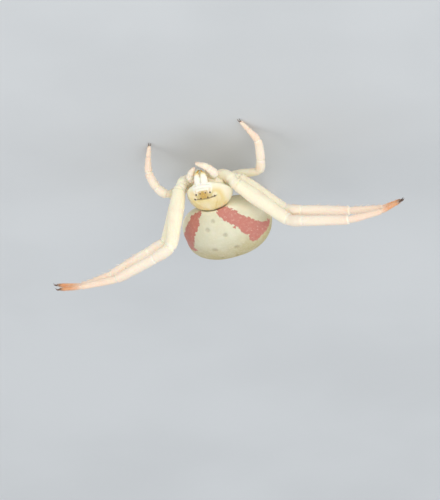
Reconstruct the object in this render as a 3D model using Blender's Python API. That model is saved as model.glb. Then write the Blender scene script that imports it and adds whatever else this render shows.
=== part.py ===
"""Whitebanded crab spider, an adult female at life size.

It stands on its short hind legs, with its long front legs raised and spread.
Lengths are in millimetres, angles in degrees. A place is given from the middle
of the rear row of eyes: x to the spider's left, y to its rear, z up.
"""

import math

import bmesh
import bpy
from mathutils import Matrix, Vector
from mathutils.bvhtree import BVHTree

MM = 0.001
COLLECTION = "crab_spider"

# Where the middle of the rear eye row stands over the floor's origin
EYE_ROW = Vector((0.936, -3.639, 4.47))
# Thin cut between two parts that meet
GAP = 0.06

# Carapace
CARAPACE_CENTRE_Y = 1.1
CARAPACE_HALF_WIDTH = 1.65
CARAPACE_FRONT = 1.95
CARAPACE_REAR = 1.2
CARAPACE_BASE_Z = -1.15
CARAPACE_HEIGHT = 1.41
CARAPACE_ROUNDNESS = 2.1
HEAD_NARROWING = 0.3
MARGIN_Z = -1.04
MARGIN_SLOPE = -0.133

# White ridge across the face
RIDGE_HALF_WIDTH = 0.66
RIDGE_Y = -0.7
RIDGE_Z = -0.5
RIDGE_RADIUS = 0.15
RIDGE_SWEEP = 0.2
RIDGE_STEPS = 6

# Eyes: name, side distance, place to the rear, lens radius
EYES = (
    ("median_rear", 0.26, 0.0, 0.09),
    ("lateral_rear", 0.74, 0.06, 0.11),
    ("median_front", 0.2, -0.42, 0.08),
    ("lateral_front", 0.52, -0.36, 0.12),
)

# Sternum
STERNUM_CENTRE_Y = 1.5
STERNUM_HALF_WIDTH = 0.62
STERNUM_HALF_LENGTH = 1.0
STERNUM_BOTTOM_Z = -2.15

# Abdomen, tipped a little to its left and turned a little at the waist
ABDOMEN_CENTRE = Vector((0.1, 4.22, -0.47))
ABDOMEN_HALF_WIDTH = 3.02
ABDOMEN_FRONT = 2.8
ABDOMEN_REAR = 2.68
ABDOMEN_TOP = 2.5
ABDOMEN_BELOW = 1.75
ABDOMEN_ROUNDNESS = 2.36
ABDOMEN_FRONT_NARROWING = 0.15
ABDOMEN_REAR_FULLNESS = 0.42
ABDOMEN_ROLL = -4.3
ABDOMEN_YAW = 2.3
ABDOMEN_UNDERCUT = 0.95
ABDOMEN_UNDERCUT_FROM = 0.5

# Pedicel
PEDICEL_START = Vector((0.0, 2.53, -1.42))
PEDICEL_END = Vector((0.0, 2.7, -1.46))
PEDICEL_RADIUS = 0.17

# Legs: coxa start and radius, femur start, then length, azimuth and pitch of femur, patella,
# tibia, metatarsus and tarsus. Azimuth is from straight sideways, positive to the front.
FIRST_RADII = (0.385, 0.54, 0.4, 0.37, 0.25, 0.16)
SECOND_RADII = (0.32, 0.45, 0.39, 0.365, 0.25, 0.16)
THIRD_RADII = (0.23, 0.33, 0.32, 0.31, 0.24, 0.16)
FOURTH_RADII = (0.21, 0.3, 0.28, 0.27, 0.23, 0.16)
LEGS = (
    ("leg1_right", -1, (0.7, 0.78, -2.02), (1.89, 0.84, -1.33), FIRST_RADII, (
        (4.8, -28.7, 36), (1.5, 23.7, 23.2), (3.4, -4.2, 8.4), (2.4, 2.1, -2.9), (1.6, 3.7, -18.5))),
    ("leg2_right", -1, (0.75, 1.6, -1.75), (1.77, 1.56, -2.24), SECOND_RADII, (
        (4.46, -22.3, 37.6), (1.4, 13.6, 19.7), (3.45, -9.8, 6.9), (2.35, -6.7, 2.6), (1.45, 7, -10.4))),
    ("leg3_right", -1, (0.66, 2.1, -1.95), (1.06, 2.37, -2.9), THIRD_RADII, (
        (2.57, 13.6, 11.8), (0.95, 66.6, -28), (1.5, 77.5, -37.5), (1.1, 116.6, -25), (0.97, 103, None))),
    ("leg4_right", -1, (0.42, 2.5, -1.99), (1.25, 3.05, -2.52), FOURTH_RADII, (
        (2.6, -80, -4), (0.95, -90, -15), (1.3, -93, -34), (1.0, -95, -34), (0.85, -93, None))),
    ("leg1_left", 1, (0.7, 0.78, -2.02), (1.98, 0.31, -1.51), FIRST_RADII, (
        (4.7, -29, 78.6), (1.5, -17.1, 11.9), (3.4, -16.9, 8.4), (2.6, 4.5, 4.7), (1.7, 2.6, -3.6))),
    ("leg2_left", 1, (0.75, 1.6, -1.75), (2.28, 1.25, -2.0), SECOND_RADII, (
        (4.3, -13.7, 72.5), (1.4, -17, 8.3), (3.35, -11.3, 16), (2.3, 1, 11.1), (1.73, 15.9, -5.6))),
    ("leg3_left", 1, (0.66, 2.1, -1.95), (1.82, 2.77, -2.93), THIRD_RADII, (
        (2.6, 47, 33), (0.9, 31.3, -35.5), (1.25, 75.3, -36.3), (1.11, 112.7, -64.8), (0.85, 119, None))),
    ("leg4_left", 1, (0.42, 2.5, -1.99), (1.3, 3.05, -2.5), FOURTH_RADII, (
        (2.6, -75, -4), (0.95, -84, -15), (1.3, -88, -34), (1.0, -90, -34), (0.85, -90, None))),
)
# Nodes of a leg: word, first and last joint, rings of the tube, and its swelling as share of the
# length, which of the leg's radii, and factor on that radius
COXA, FEMUR, PATELLA, TIBIA, METATARSUS, TARSUS = range(6)
LEG_NODES = (
    ("coxa", 0, 1, 3, ((0, COXA, 1), (0.5, COXA, 1.08), (0.8, COXA, 1.12), (1, COXA, 1.04))),
    ("femur", 1, 2, 3, (
        (0, FEMUR, 0.72), (0.12, FEMUR, 0.88), (0.35, FEMUR, 1), (0.8, FEMUR, 0.87), (1, FEMUR, 0.8))),
    ("tibia", 2, 4, 3, (
        (0, PATELLA, 1), (0.18, PATELLA, 1.05), (0.3, PATELLA, 0.93),
        (0.45, TIBIA, 1), (0.85, TIBIA, 0.95), (1, TIBIA, 0.87))),
    ("metatarsus", 4, 5, 2, (
        (0, METATARSUS, 1), (0.15, METATARSUS, 1.05), (0.8, METATARSUS, 0.85), (1, METATARSUS, 0.75))),
    ("tarsus", 5, 6, 2, ((0, TARSUS, 1), (0.3, TARSUS, 1), (0.85, TARSUS, 0.75), (1, TARSUS, 0.45))),
)
# Stations along a leg stand at least this far apart
LEAST_STEP = 0.045
# Share of a corner's shorter side, and length, that rounds a joint
CORNER_SHARE = 0.45
CORNER_REACH = 0.55
# Length that stays straight at a cut, so that both faces are square to it
SQUARE_END = 0.05
FOOT_PAD_RADIUS = 0.16
FOOT_PAD_HEIGHT = 0.13
CLAW_LENGTH = 0.2
CLAW_RADIUS = 0.035
CLAW_SPREAD = 0.07
# How far the claws drop, on a foot that stands and on one that is held up
CLAW_DROP_STANDING = 0.04
CLAW_DROP_RAISED = 0.09

# Palps: points of each, and radius at the points
PALP_RIGHT = ((-0.4, 0.22, -1.8), (-0.94, -0.5, -1.5), (-0.66, -1.22, -1.7), (0.1, -1.58, -1.93))
PALP_LEFT = ((0.4, 0.22, -1.8), (0.94, -0.42, -1.52), (0.72, -0.86, -1.62), (0.32, -1.1, -1.9))
PALP_RADII = (0.24, 0.24, 0.22, 0.15)
# Lobe at the base of each palp, beside the mouth
LOBE = ((0.25, 0.38, -1.95), (0.2, -0.15, -2.03), (0.17, -0.6, -1.95))
LOBE_RADII = (0.16, 0.175, 0.13)
# Share of the palp's length, which of its radii, and factor on that radius
PALP_SWELLING = (
    (0, 0, 1), (0.2, 0, 0.9), (0.4, 1, 1), (0.55, 1, 0.88), (0.75, 2, 1), (0.93, 3, 1), (1, 3, 0.5),
)

# Chelicerae
CHELICERA = ((0.24, -0.5, -0.7), (0.245, -0.84, -1.22), (0.2, -1.0, -1.46))
CHELICERA_RADII = (0.225, 0.23, 0.15)
FANG = ((0.2, -1.0, -1.5), (0.14, -1.0, -1.68), (0.06, -0.86, -1.74))
FANG_RADII = (0.08, 0.05, 0.02)

# Spinnerets
SPINNERET_AIM = Vector((0.05, 7.4, -1.35))
SPINNERET_BASE = (0.4, 0.32)
SPINNERET_BASE_LENGTH = 0.13
SPINNERET_LENGTH = 0.34
SPINNERET_RADIUS = 0.19
SPINNERET_SPACING = 0.14
SPINNERET_SPLAY = 0.05

# Finishes: colour and roughness
FINISHES = {
    "cream": ((0.80, 0.74, 0.58), 0.45),
    "amber": ((0.72, 0.56, 0.26), 0.42),
    "abdomen": ((0.72, 0.72, 0.55), 0.5),
    "white": ((0.86, 0.85, 0.78), 0.45),
    "tan": ((0.72, 0.50, 0.30), 0.45),
    "dark": ((0.03, 0.02, 0.02), 0.15),
}

SMOOTH_ANGLE = math.radians(50)


def clear_scene():
    for old in list(bpy.data.objects):
        bpy.data.objects.remove(old)


def new_collection(name):
    collection = bpy.data.collections.new(name)
    bpy.context.scene.collection.children.link(collection)
    return collection


def finish(name):
    """The Principled material of that finish, made once."""
    known = bpy.data.materials.get(name)
    if known:
        return known
    colour, roughness = FINISHES[name]
    material = bpy.data.materials.new(name)
    material.use_nodes = True
    shader = material.node_tree.nodes["Principled BSDF"]
    shader.inputs["Base Color"].default_value = (*colour, 1.0)
    shader.inputs["Roughness"].default_value = roughness
    material.diffuse_color = (*colour, 1.0)
    return material


def world(point):
    """A place given from the eye row, in metres over the floor."""
    return (Vector(point) + EYE_ROW) * MM


def mirrored(points, side):
    return [Vector((side * x, y, z)) for x, y, z in points]


def object_of(mesh_edit, name):
    """Writes an edited mesh to a new, smooth shaded object, which no collection holds yet."""
    bmesh.ops.recalc_face_normals(mesh_edit, faces=mesh_edit.faces)
    if mesh_edit.calc_volume(signed=True) < 0:
        bmesh.ops.reverse_faces(mesh_edit, faces=mesh_edit.faces)
    mesh = bpy.data.meshes.new(name)
    mesh_edit.to_mesh(mesh)
    mesh_edit.free()
    mesh.shade_smooth()
    mesh.set_sharp_from_angle(angle=SMOOTH_ANGLE)
    return bpy.data.objects.new(name, mesh)


def keep(obj, collection, material_name):
    """Puts a finished part in the spider's collection, with its material."""
    obj.data.materials.clear()
    obj.data.materials.append(finish(material_name))
    collection.objects.link(obj)
    return obj


def tube(name, points, radii, resolution):
    """A closed round tube through the points, with a radius at each, as a mesh object."""
    curve = bpy.data.curves.new(name, "CURVE")
    curve.dimensions = "3D"
    curve.bevel_depth = MM
    curve.bevel_resolution = resolution
    curve.use_fill_caps = True
    spline = curve.splines.new("POLY")
    spline.points.add(len(points) - 1)
    for spot, point, radius in zip(spline.points, points, radii):
        spot.co = (*world(point), 1.0)
        spot.radius = radius
    guide = bpy.data.objects.new(name + "_guide", curve)
    bpy.context.scene.collection.objects.link(guide)
    graph = bpy.context.evaluated_depsgraph_get()
    mesh = bpy.data.meshes.new_from_object(guide.evaluated_get(graph))
    bpy.data.objects.remove(guide)
    edit = bmesh.new()
    edit.from_mesh(mesh)
    bmesh.ops.remove_doubles(edit, verts=edit.verts, dist=1e-7)
    return object_of(edit, name)


def moulded(name, segments, rings, shape):
    """A ball whose points are moved by a rule, which gives a place for each direction."""
    edit = bmesh.new()
    bmesh.ops.create_uvsphere(edit, u_segments=segments, v_segments=rings, radius=1.0)
    for vert in edit.verts:
        vert.co = world(shape(vert.co.copy()))
    return object_of(edit, name)


def cut_by_plane(obj, point, normal):
    """Removes what lies on the normal's side of a plane, and closes the cut."""
    edit = bmesh.new()
    edit.from_mesh(obj.data)
    parts = edit.verts[:] + edit.edges[:] + edit.faces[:]
    cut = bmesh.ops.bisect_plane(
        edit, geom=parts, plane_co=world(point), plane_no=normal, clear_outer=True
    )
    rim = [part for part in cut["geom_cut"] if isinstance(part, bmesh.types.BMEdge)]
    bmesh.ops.holes_fill(edit, edges=rim, sides=0)
    name = obj.name
    bpy.data.objects.remove(obj)
    return object_of(edit, name)


def largest_body(obj):
    """Keeps only the largest connected surface of a mesh."""
    edit = bmesh.new()
    edit.from_mesh(obj.data)
    left = set(edit.verts)
    bodies = []
    while left:
        body = set()
        reached = [left.pop()]
        while reached:
            vert = reached.pop()
            body.add(vert)
            near = {edge.other_vert(vert) for edge in vert.link_edges}
            reached += list(near & left)
            left -= near
        bodies.append(body)
    most = max(bodies, key=len)
    bmesh.ops.delete(edit, geom=[vert for vert in edit.verts if vert not in most], context="VERTS")
    edit.to_mesh(obj.data)
    edit.free()


def boolean(obj, others, operation):
    """Joins the other objects to this one, or cuts them out of it, and removes them."""
    helpers = new_collection(obj.name + "_helpers")
    helpers.hide_render = True
    for other in others:
        other.display_type = "WIRE"
        other.hide_render = True
        helpers.objects.link(other)
    bpy.context.scene.collection.objects.link(obj)
    modifier = obj.modifiers.new(operation.lower(), "BOOLEAN")
    modifier.operation = operation
    modifier.solver = "EXACT"
    modifier.operand_type = "COLLECTION"
    modifier.collection = helpers
    graph = bpy.context.evaluated_depsgraph_get()
    mesh = bpy.data.meshes.new_from_object(obj.evaluated_get(graph))
    obj.modifiers.clear()
    obj.data = mesh
    bpy.context.scene.collection.objects.unlink(obj)
    for other in others:
        bpy.data.objects.remove(other)
    bpy.data.collections.remove(helpers)
    largest_body(obj)
    obj.data.shade_smooth()
    obj.data.set_sharp_from_angle(angle=SMOOTH_ANGLE)
    return obj


def margin_height(y):
    """Height of the carapace's lower edge."""
    return MARGIN_Z + MARGIN_SLOPE * (y - CARAPACE_CENTRE_Y)


def signed_power(value, exponent):
    return math.copysign(abs(value) ** exponent, value)


def carapace_point(direction, swell=0.0):
    """Low round dome with a steep, narrower face."""
    flatten = 2 / CARAPACE_ROUNDNESS
    across = signed_power(direction.x, flatten)
    along = signed_power(direction.y, flatten)
    up = signed_power(direction.z, flatten)
    length = CARAPACE_FRONT if along < 0 else CARAPACE_REAR
    width = CARAPACE_HALF_WIDTH * (1 - HEAD_NARROWING * min(0.0, along) ** 2)
    return Vector((
        (width + swell) * across,
        CARAPACE_CENTRE_Y + (length + swell) * along,
        CARAPACE_BASE_Z + (CARAPACE_HEIGHT + swell) * up,
    ))


def make_carapace(collection):
    dome = moulded("carapace", 28, 16, carapace_point)
    floor = (0.0, CARAPACE_CENTRE_Y, MARGIN_Z)
    dome = cut_by_plane(dome, floor, Vector((0.0, MARGIN_SLOPE, -1.0)))
    spots = []
    radii = []
    for step in range(RIDGE_STEPS + 1):
        side = 2 * step / RIDGE_STEPS - 1
        spots.append((RIDGE_HALF_WIDTH * side, RIDGE_Y + RIDGE_SWEEP * side ** 2, RIDGE_Z))
        radii.append(RIDGE_RADIUS * (1 - 0.5 * side ** 2))
    ridge = tube("face_ridge", spots, radii, 2)
    return keep(boolean(dome, [ridge], "UNION"), collection, "amber")


def surface_of(obj):
    edit = bmesh.new()
    edit.from_mesh(obj.data)
    tree = BVHTree.FromBMesh(edit)
    edit.free()
    return tree


def dome_on(name, tree, above, direction, radius):
    """A half ball that faces out of the surface met from a point along a direction."""
    spot, normal, _, _ = tree.ray_cast(world(above), direction)
    edit = bmesh.new()
    bmesh.ops.create_uvsphere(edit, u_segments=10, v_segments=8, radius=radius * MM)
    parts = edit.verts[:] + edit.edges[:] + edit.faces[:]
    cut = bmesh.ops.bisect_plane(
        edit, geom=parts, plane_co=(0, 0, 0), plane_no=(0, 0, -1), clear_outer=True
    )
    rim = [part for part in cut["geom_cut"] if isinstance(part, bmesh.types.BMEdge)]
    bmesh.ops.holes_fill(edit, edges=rim, sides=0)
    turn = Vector((0, 0, 1)).rotation_difference(normal)
    for vert in edit.verts:
        vert.co = turn @ vert.co + spot + normal * GAP * MM
    return object_of(edit, name)


def make_eyes(collection, carapace):
    tree = surface_of(carapace)
    look = Vector((0.0, 0.5, -1.0)).normalized()
    for side, word in ((1, "left"), (-1, "right")):
        for name, across, back, radius in EYES:
            above = Vector((side * across, back, 0.0)) - look * 1.5
            eye = dome_on(f"eye_{name}_{word}", tree, above, look, radius)
            keep(eye, collection, "dark")


def sternum_point(direction):
    """Block under the carapace, narrower to the rear, with a rounded underside."""
    taper = 1 - 0.2 * max(0.0, direction.y)
    top = margin_height(STERNUM_CENTRE_Y + STERNUM_HALF_LENGTH * direction.y) - GAP
    flat = max(-1.0, min(1.0, 2.2 * direction.z))
    middle = (top + STERNUM_BOTTOM_Z) / 2
    half = (top - STERNUM_BOTTOM_Z) / 2
    spread = math.sqrt(max(0.0, 1 - direction.z ** 2)) ** 0.6
    flatwise = Vector((direction.x, direction.y))
    if flatwise.length > 0:
        flatwise.normalize()
    return Vector((
        STERNUM_HALF_WIDTH * taper * spread * flatwise.x,
        STERNUM_CENTRE_Y + STERNUM_HALF_LENGTH * spread * flatwise.y,
        middle + half * flat,
    ))


def abdomen_point(direction):
    """Broad egg, fullest behind its middle, hollowed in front over the waist."""
    across, along, up = (signed_power(part, 2 / ABDOMEN_ROUNDNESS) for part in direction)
    length = ABDOMEN_FRONT if along < 0 else ABDOMEN_REAR
    height = ABDOMEN_TOP if up > 0 else ABDOMEN_BELOW
    forward = max(0.0, -along)
    rearward = max(0.0, along)
    swelling = ABDOMEN_REAR_FULLNESS * rearward * (1 - rearward)
    width = ABDOMEN_HALF_WIDTH * (1 - ABDOMEN_FRONT_NARROWING * forward ** 2 + swelling)
    tip = Matrix.Rotation(math.radians(ABDOMEN_ROLL), 3, "Y")
    turn = Matrix.Rotation(math.radians(ABDOMEN_YAW), 3, "Z")
    spot = turn @ tip @ Vector((width * across, length * along, height * up))
    spot.y += ABDOMEN_UNDERCUT * forward * max(0.0, ABDOMEN_UNDERCUT_FROM - spot.z)
    return spot + ABDOMEN_CENTRE


def make_abdomen(collection):
    egg = moulded("abdomen", 28, 18, abdomen_point)
    room = moulded("carapace_room", 28, 16, lambda way: carapace_point(way, 2 * GAP))
    return keep(boolean(egg, [room], "DIFFERENCE"), collection, "abdomen")


def make_spinnerets(collection, abdomen):
    tree = surface_of(abdomen)
    centre = ABDOMEN_CENTRE.copy()
    aim = (SPINNERET_AIM - centre).normalized()
    spot, normal, _, _ = tree.ray_cast(world(centre + aim * 6), -aim)
    root = spot / MM - EYE_ROW + normal * GAP
    side = normal.cross(Vector((0, 0, 1))).normalized()
    up = side.cross(normal)
    base = tube("spinnerets", [root, root + normal * SPINNERET_BASE_LENGTH], SPINNERET_BASE, 3)
    cones = []
    for across in (-1, 1):
        for rise in (-1, 1):
            outward = across * side + rise * up
            start = root + normal * GAP / 2 + SPINNERET_SPACING * outward
            end = start + normal * SPINNERET_LENGTH + SPINNERET_SPLAY * outward
            middle = (start + end) / 2
            radii = (SPINNERET_RADIUS, 0.85 * SPINNERET_RADIUS, 0.45 * SPINNERET_RADIUS)
            cones.append(tube(f"cone_{across}_{rise}", (start, middle, end), radii, 1))
    return keep(boolean(base, cones, "UNION"), collection, "cream")


def aimed(azimuth, pitch, side):
    """Unit direction of a leg piece."""
    turn = math.radians(azimuth)
    rise = math.radians(pitch)
    outward = side * math.cos(rise) * math.cos(turn)
    return Vector((outward, -math.cos(rise) * math.sin(turn), math.sin(rise)))


def leg_joints(side, root, first, pieces):
    """Coxa start, femur start, knee and so on to the toe. A piece with no pitch ends on the foot pad."""
    toe_height = FOOT_PAD_HEIGHT * 0.75 - EYE_ROW.z
    spots = mirrored((root, first), side)
    for length, azimuth, pitch in pieces:
        if pitch is None:
            pitch = math.degrees(math.asin((toe_height - spots[-1].z) / length))
        spots.append(spots[-1] + length * aimed(azimuth, pitch, side))
    return spots


def corner(spots, index):
    """Rounded corner at a joint: where it starts, its middle, its end and the direction through it."""
    joint = spots[index]
    before = spots[index - 1] - joint
    after = spots[index + 1] - joint
    reach = min(CORNER_REACH, CORNER_SHARE * before.length, CORNER_SHARE * after.length)
    start = joint + before.normalized() * reach
    end = joint + after.normalized() * reach
    return start, (start + 2 * joint + end) / 4, end, (end - start).normalized()


def half_corner(start, joint, end, first, last):
    """Points of a quadratic arc between two of its parameters."""
    spots = []
    for share in (first, (first + last) / 2, last):
        spots.append((1 - share) ** 2 * start + 2 * share * (1 - share) * joint + share ** 2 * end)
    return spots


def piece_line(spots, first, last):
    """Centre line of one leg piece between two joints, cut square at both."""
    line = []
    if first == 0:
        line.append(spots[0])
    else:
        start, middle, end, way = corner(spots, first)
        line += [middle + way * GAP / 2, middle + way * (GAP / 2 + SQUARE_END)]
        line += half_corner(start, spots[first], end, 0.5, 1.0)[1:]
    for joint in range(first + 1, last):
        start, _, end, _ = corner(spots, joint)
        line += half_corner(start, spots[joint], end, 0.0, 1.0)
    if last == len(spots) - 1:
        line.append(spots[-1])
    else:
        start, middle, end, way = corner(spots, last)
        line += half_corner(start, spots[last], end, 0.0, 0.5)[:-1]
        line += [middle - way * (GAP / 2 + SQUARE_END), middle - way * GAP / 2]
    return line


def with_radii(line, profile):
    """Adds a station to the line for each (share of length, radius) of the profile."""
    lengths = [0.0]
    for before, after in zip(line, line[1:]):
        lengths.append(lengths[-1] + (after - before).length)
    total = lengths[-1]
    marks = sorted({round(length / total, 4) for length in lengths} | {share for share, _ in profile})
    stations = []
    radii = []
    for mark in marks:
        place = mark * total
        index = max(i for i in range(len(line) - 1) if lengths[i] <= place + 1e-9 or i == 0)
        span = lengths[index + 1] - lengths[index]
        stations.append(line[index].lerp(line[index + 1], min(1.0, (place - lengths[index]) / span)))
        step = max(i for i in range(len(profile) - 1) if profile[i][0] <= mark or i == 0)
        (share_a, radius_a), (share_b, radius_b) = profile[step], profile[step + 1]
        blend = (mark - share_a) / (share_b - share_a)
        radii.append(radius_a + (radius_b - radius_a) * (3 - 2 * blend) * blend ** 2)
    return stations, radii


def thinned(stations, radii, least):
    """Drops stations that stand closer together than the least distance, ends kept."""
    kept = [0]
    for index in range(1, len(stations) - 1):
        if (stations[index] - stations[kept[-1]]).length >= least:
            kept.append(index)
    if (stations[-1] - stations[kept[-1]]).length < least and len(kept) > 1:
        kept.pop()
    kept.append(len(stations) - 1)
    return [stations[i] for i in kept], [radii[i] for i in kept]


def swollen_tube(name, line, swelling, radii, resolution):
    """A tube along a line whose swelling is given as (share of length, which radius, factor)."""
    profile = [(share, factor * radii[which]) for share, which, factor in swelling]
    stations, station_radii = thinned(*with_radii(line, profile), LEAST_STEP)
    return tube(name, stations, station_radii, resolution)


def claws(name, toe, way, drop):
    """Two small hooks that curve down from the end of a toe."""
    side = way.cross(Vector((0, 0, 1))).normalized()
    made = []
    for across in (-1, 1):
        root = toe - way * 0.1 + side * across * CLAW_SPREAD * 0.6
        knuckle = toe + way * CLAW_LENGTH * 0.5 + side * across * CLAW_SPREAD
        tip = toe + way * CLAW_LENGTH + side * across * CLAW_SPREAD * 1.2 - Vector((0, 0, drop))
        radii = (CLAW_RADIUS * 1.3, CLAW_RADIUS, CLAW_RADIUS * 0.35)
        made.append(tube(f"{name}_claw_{across}", (root, knuckle, tip), radii, 0))
    return made


def foot_of(name, spots, stands):
    """The claws of a leg, and the flat tuft under them where the leg stands."""
    toe = spots[-1]
    way = (toe - spots[-2]).normalized()
    if not stands:
        return claws(name, toe, way, CLAW_DROP_RAISED)
    way = Vector((way.x, way.y, 0)).normalized()
    below = Vector((toe.x, toe.y, -EYE_ROW.z))
    above = below + Vector((0, 0, FOOT_PAD_HEIGHT))
    pad = tube(f"{name}_pad", (below, above), (FOOT_PAD_RADIUS, 0.6 * FOOT_PAD_RADIUS), 2)
    return claws(name, toe + way * FOOT_PAD_RADIUS / 2, way, CLAW_DROP_STANDING) + [pad]


def make_leg(collection, leg):
    name, side, root, first, radii, pieces = leg
    spots = leg_joints(side, root, first, pieces)
    for word, start, end, resolution, swelling in LEG_NODES:
        line = piece_line(spots, start, end)
        piece = swollen_tube(f"{name}_{word}", line, swelling, radii, resolution)
        if word == "tarsus":
            foot = foot_of(name, spots, pieces[-1][2] is None)
            keep(boolean(piece, foot, "UNION"), collection, "tan")
        else:
            keep(piece, collection, "cream")


def make_palp(collection, word, side, points):
    spots = [Vector(point) for point in points]
    line = [spots[0]]
    for joint in (1, 2):
        start, _, end, _ = corner(spots, joint)
        line += half_corner(start, spots[joint], end, 0.0, 1.0)
    line.append(spots[3])
    palp = swollen_tube(f"palp_{word}", line, PALP_SWELLING, PALP_RADII, 3)
    lobe = tube(f"lobe_{word}", mirrored(LOBE, side), LOBE_RADII, 2)
    keep(boolean(palp, [lobe], "UNION"), collection, "cream")


def make_chelicera(collection, word, side):
    upper = tube(f"chelicera_{word}", mirrored(CHELICERA, side), CHELICERA_RADII, 4)
    edge = (0.0, CARAPACE_CENTRE_Y, MARGIN_Z - GAP)
    upper = cut_by_plane(upper, edge, Vector((0.0, -MARGIN_SLOPE, 1.0)))
    fang = tube(f"fang_{word}", mirrored(FANG, side), FANG_RADII, 1)
    keep(boolean(upper, [fang], "UNION"), collection, "white")


def main():
    clear_scene()
    spider = new_collection(COLLECTION)
    carapace = make_carapace(spider)
    make_eyes(spider, carapace)
    keep(moulded("sternum", 20, 12, sternum_point), spider, "cream")
    abdomen = make_abdomen(spider)
    make_spinnerets(spider, abdomen)
    waist = tube("pedicel", (PEDICEL_START, PEDICEL_END), (PEDICEL_RADIUS, PEDICEL_RADIUS), 2)
    keep(waist, spider, "cream")
    for leg in LEGS:
        make_leg(spider, leg)
    make_palp(spider, "right", -1, PALP_RIGHT)
    make_palp(spider, "left", 1, PALP_LEFT)
    make_chelicera(spider, "left", 1)
    make_chelicera(spider, "right", -1)


main()
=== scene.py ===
"""Looks of a life-size whitebanded crab spider, laid out as a Blender add-on.

The flesh is one skin, modelled in millimetres and brought to metres once it is whole. Places are
given in millimetres from the middle of the rear row of eyes: x to the spider's left, y to its
rear, z up. Angles are in degrees.
"""

import math

import bpy
import numpy as np
from mathutils import Matrix, Vector
from mathutils.bvhtree import BVHTree
from mathutils.kdtree import KDTree


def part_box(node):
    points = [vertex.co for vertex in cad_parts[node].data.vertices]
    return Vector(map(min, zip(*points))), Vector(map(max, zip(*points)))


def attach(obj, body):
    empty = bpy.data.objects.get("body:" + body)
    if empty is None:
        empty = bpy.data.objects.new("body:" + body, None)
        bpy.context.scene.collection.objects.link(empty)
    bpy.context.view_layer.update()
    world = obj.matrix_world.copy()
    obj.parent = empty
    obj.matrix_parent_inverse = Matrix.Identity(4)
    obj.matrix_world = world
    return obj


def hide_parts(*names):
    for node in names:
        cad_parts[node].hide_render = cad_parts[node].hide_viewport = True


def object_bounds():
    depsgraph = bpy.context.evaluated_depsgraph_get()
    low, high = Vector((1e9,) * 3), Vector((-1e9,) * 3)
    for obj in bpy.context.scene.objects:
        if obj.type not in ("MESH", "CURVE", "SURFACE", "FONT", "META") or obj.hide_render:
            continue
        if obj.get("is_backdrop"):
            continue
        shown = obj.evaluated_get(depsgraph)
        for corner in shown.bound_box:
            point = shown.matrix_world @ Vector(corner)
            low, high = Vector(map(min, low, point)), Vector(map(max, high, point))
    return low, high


bl_info = {
    "name": "Crab Spider",
    "version": (1, 0, 0),
    "blender": (4, 5, 0),
    "location": "View3D > Sidebar > Spider",
    "description": "Dresses the solids of a crab spider in skin, bristles, eyes and claws",
    "category": "Add Mesh",
}

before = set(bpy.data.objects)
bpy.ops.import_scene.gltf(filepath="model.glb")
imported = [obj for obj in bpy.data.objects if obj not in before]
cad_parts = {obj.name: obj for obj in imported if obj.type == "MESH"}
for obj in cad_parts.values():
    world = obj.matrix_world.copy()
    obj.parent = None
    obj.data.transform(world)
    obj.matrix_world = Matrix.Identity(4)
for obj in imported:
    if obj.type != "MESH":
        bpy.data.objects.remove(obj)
CAD_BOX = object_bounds()

MM = 0.001
UP = Vector((0.0, 0.0, 1.0))
SIDES = ((1, "left"), (-1, "right"))

# The rear eye row lies this far in front of the middle of the sternum's box and over its bottom
STERNUM_BEHIND_EYES = 1.5
STERNUM_BELOW_EYES = 2.15
STERNUM_LOW, STERNUM_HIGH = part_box("sternum")
EYE_ROW = Vector((
    (STERNUM_LOW.x + STERNUM_HIGH.x) / 2 / MM,
    (STERNUM_LOW.y + STERNUM_HIGH.y) / 2 / MM - STERNUM_BEHIND_EYES,
    STERNUM_LOW.z / MM + STERNUM_BELOW_EYES,
))

# Camera of the photograph: turned round the spider, above the floor, and upside down as it hung
CAMERA_TURN = 21.0
CAMERA_RISE = 30.0
PHOTO_SIZE = (440, 500)
MM_PER_PIXEL = 0.07
EYE_ROW_PIXEL = (204.5, 197.5)
SENSOR = 36.0

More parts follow.
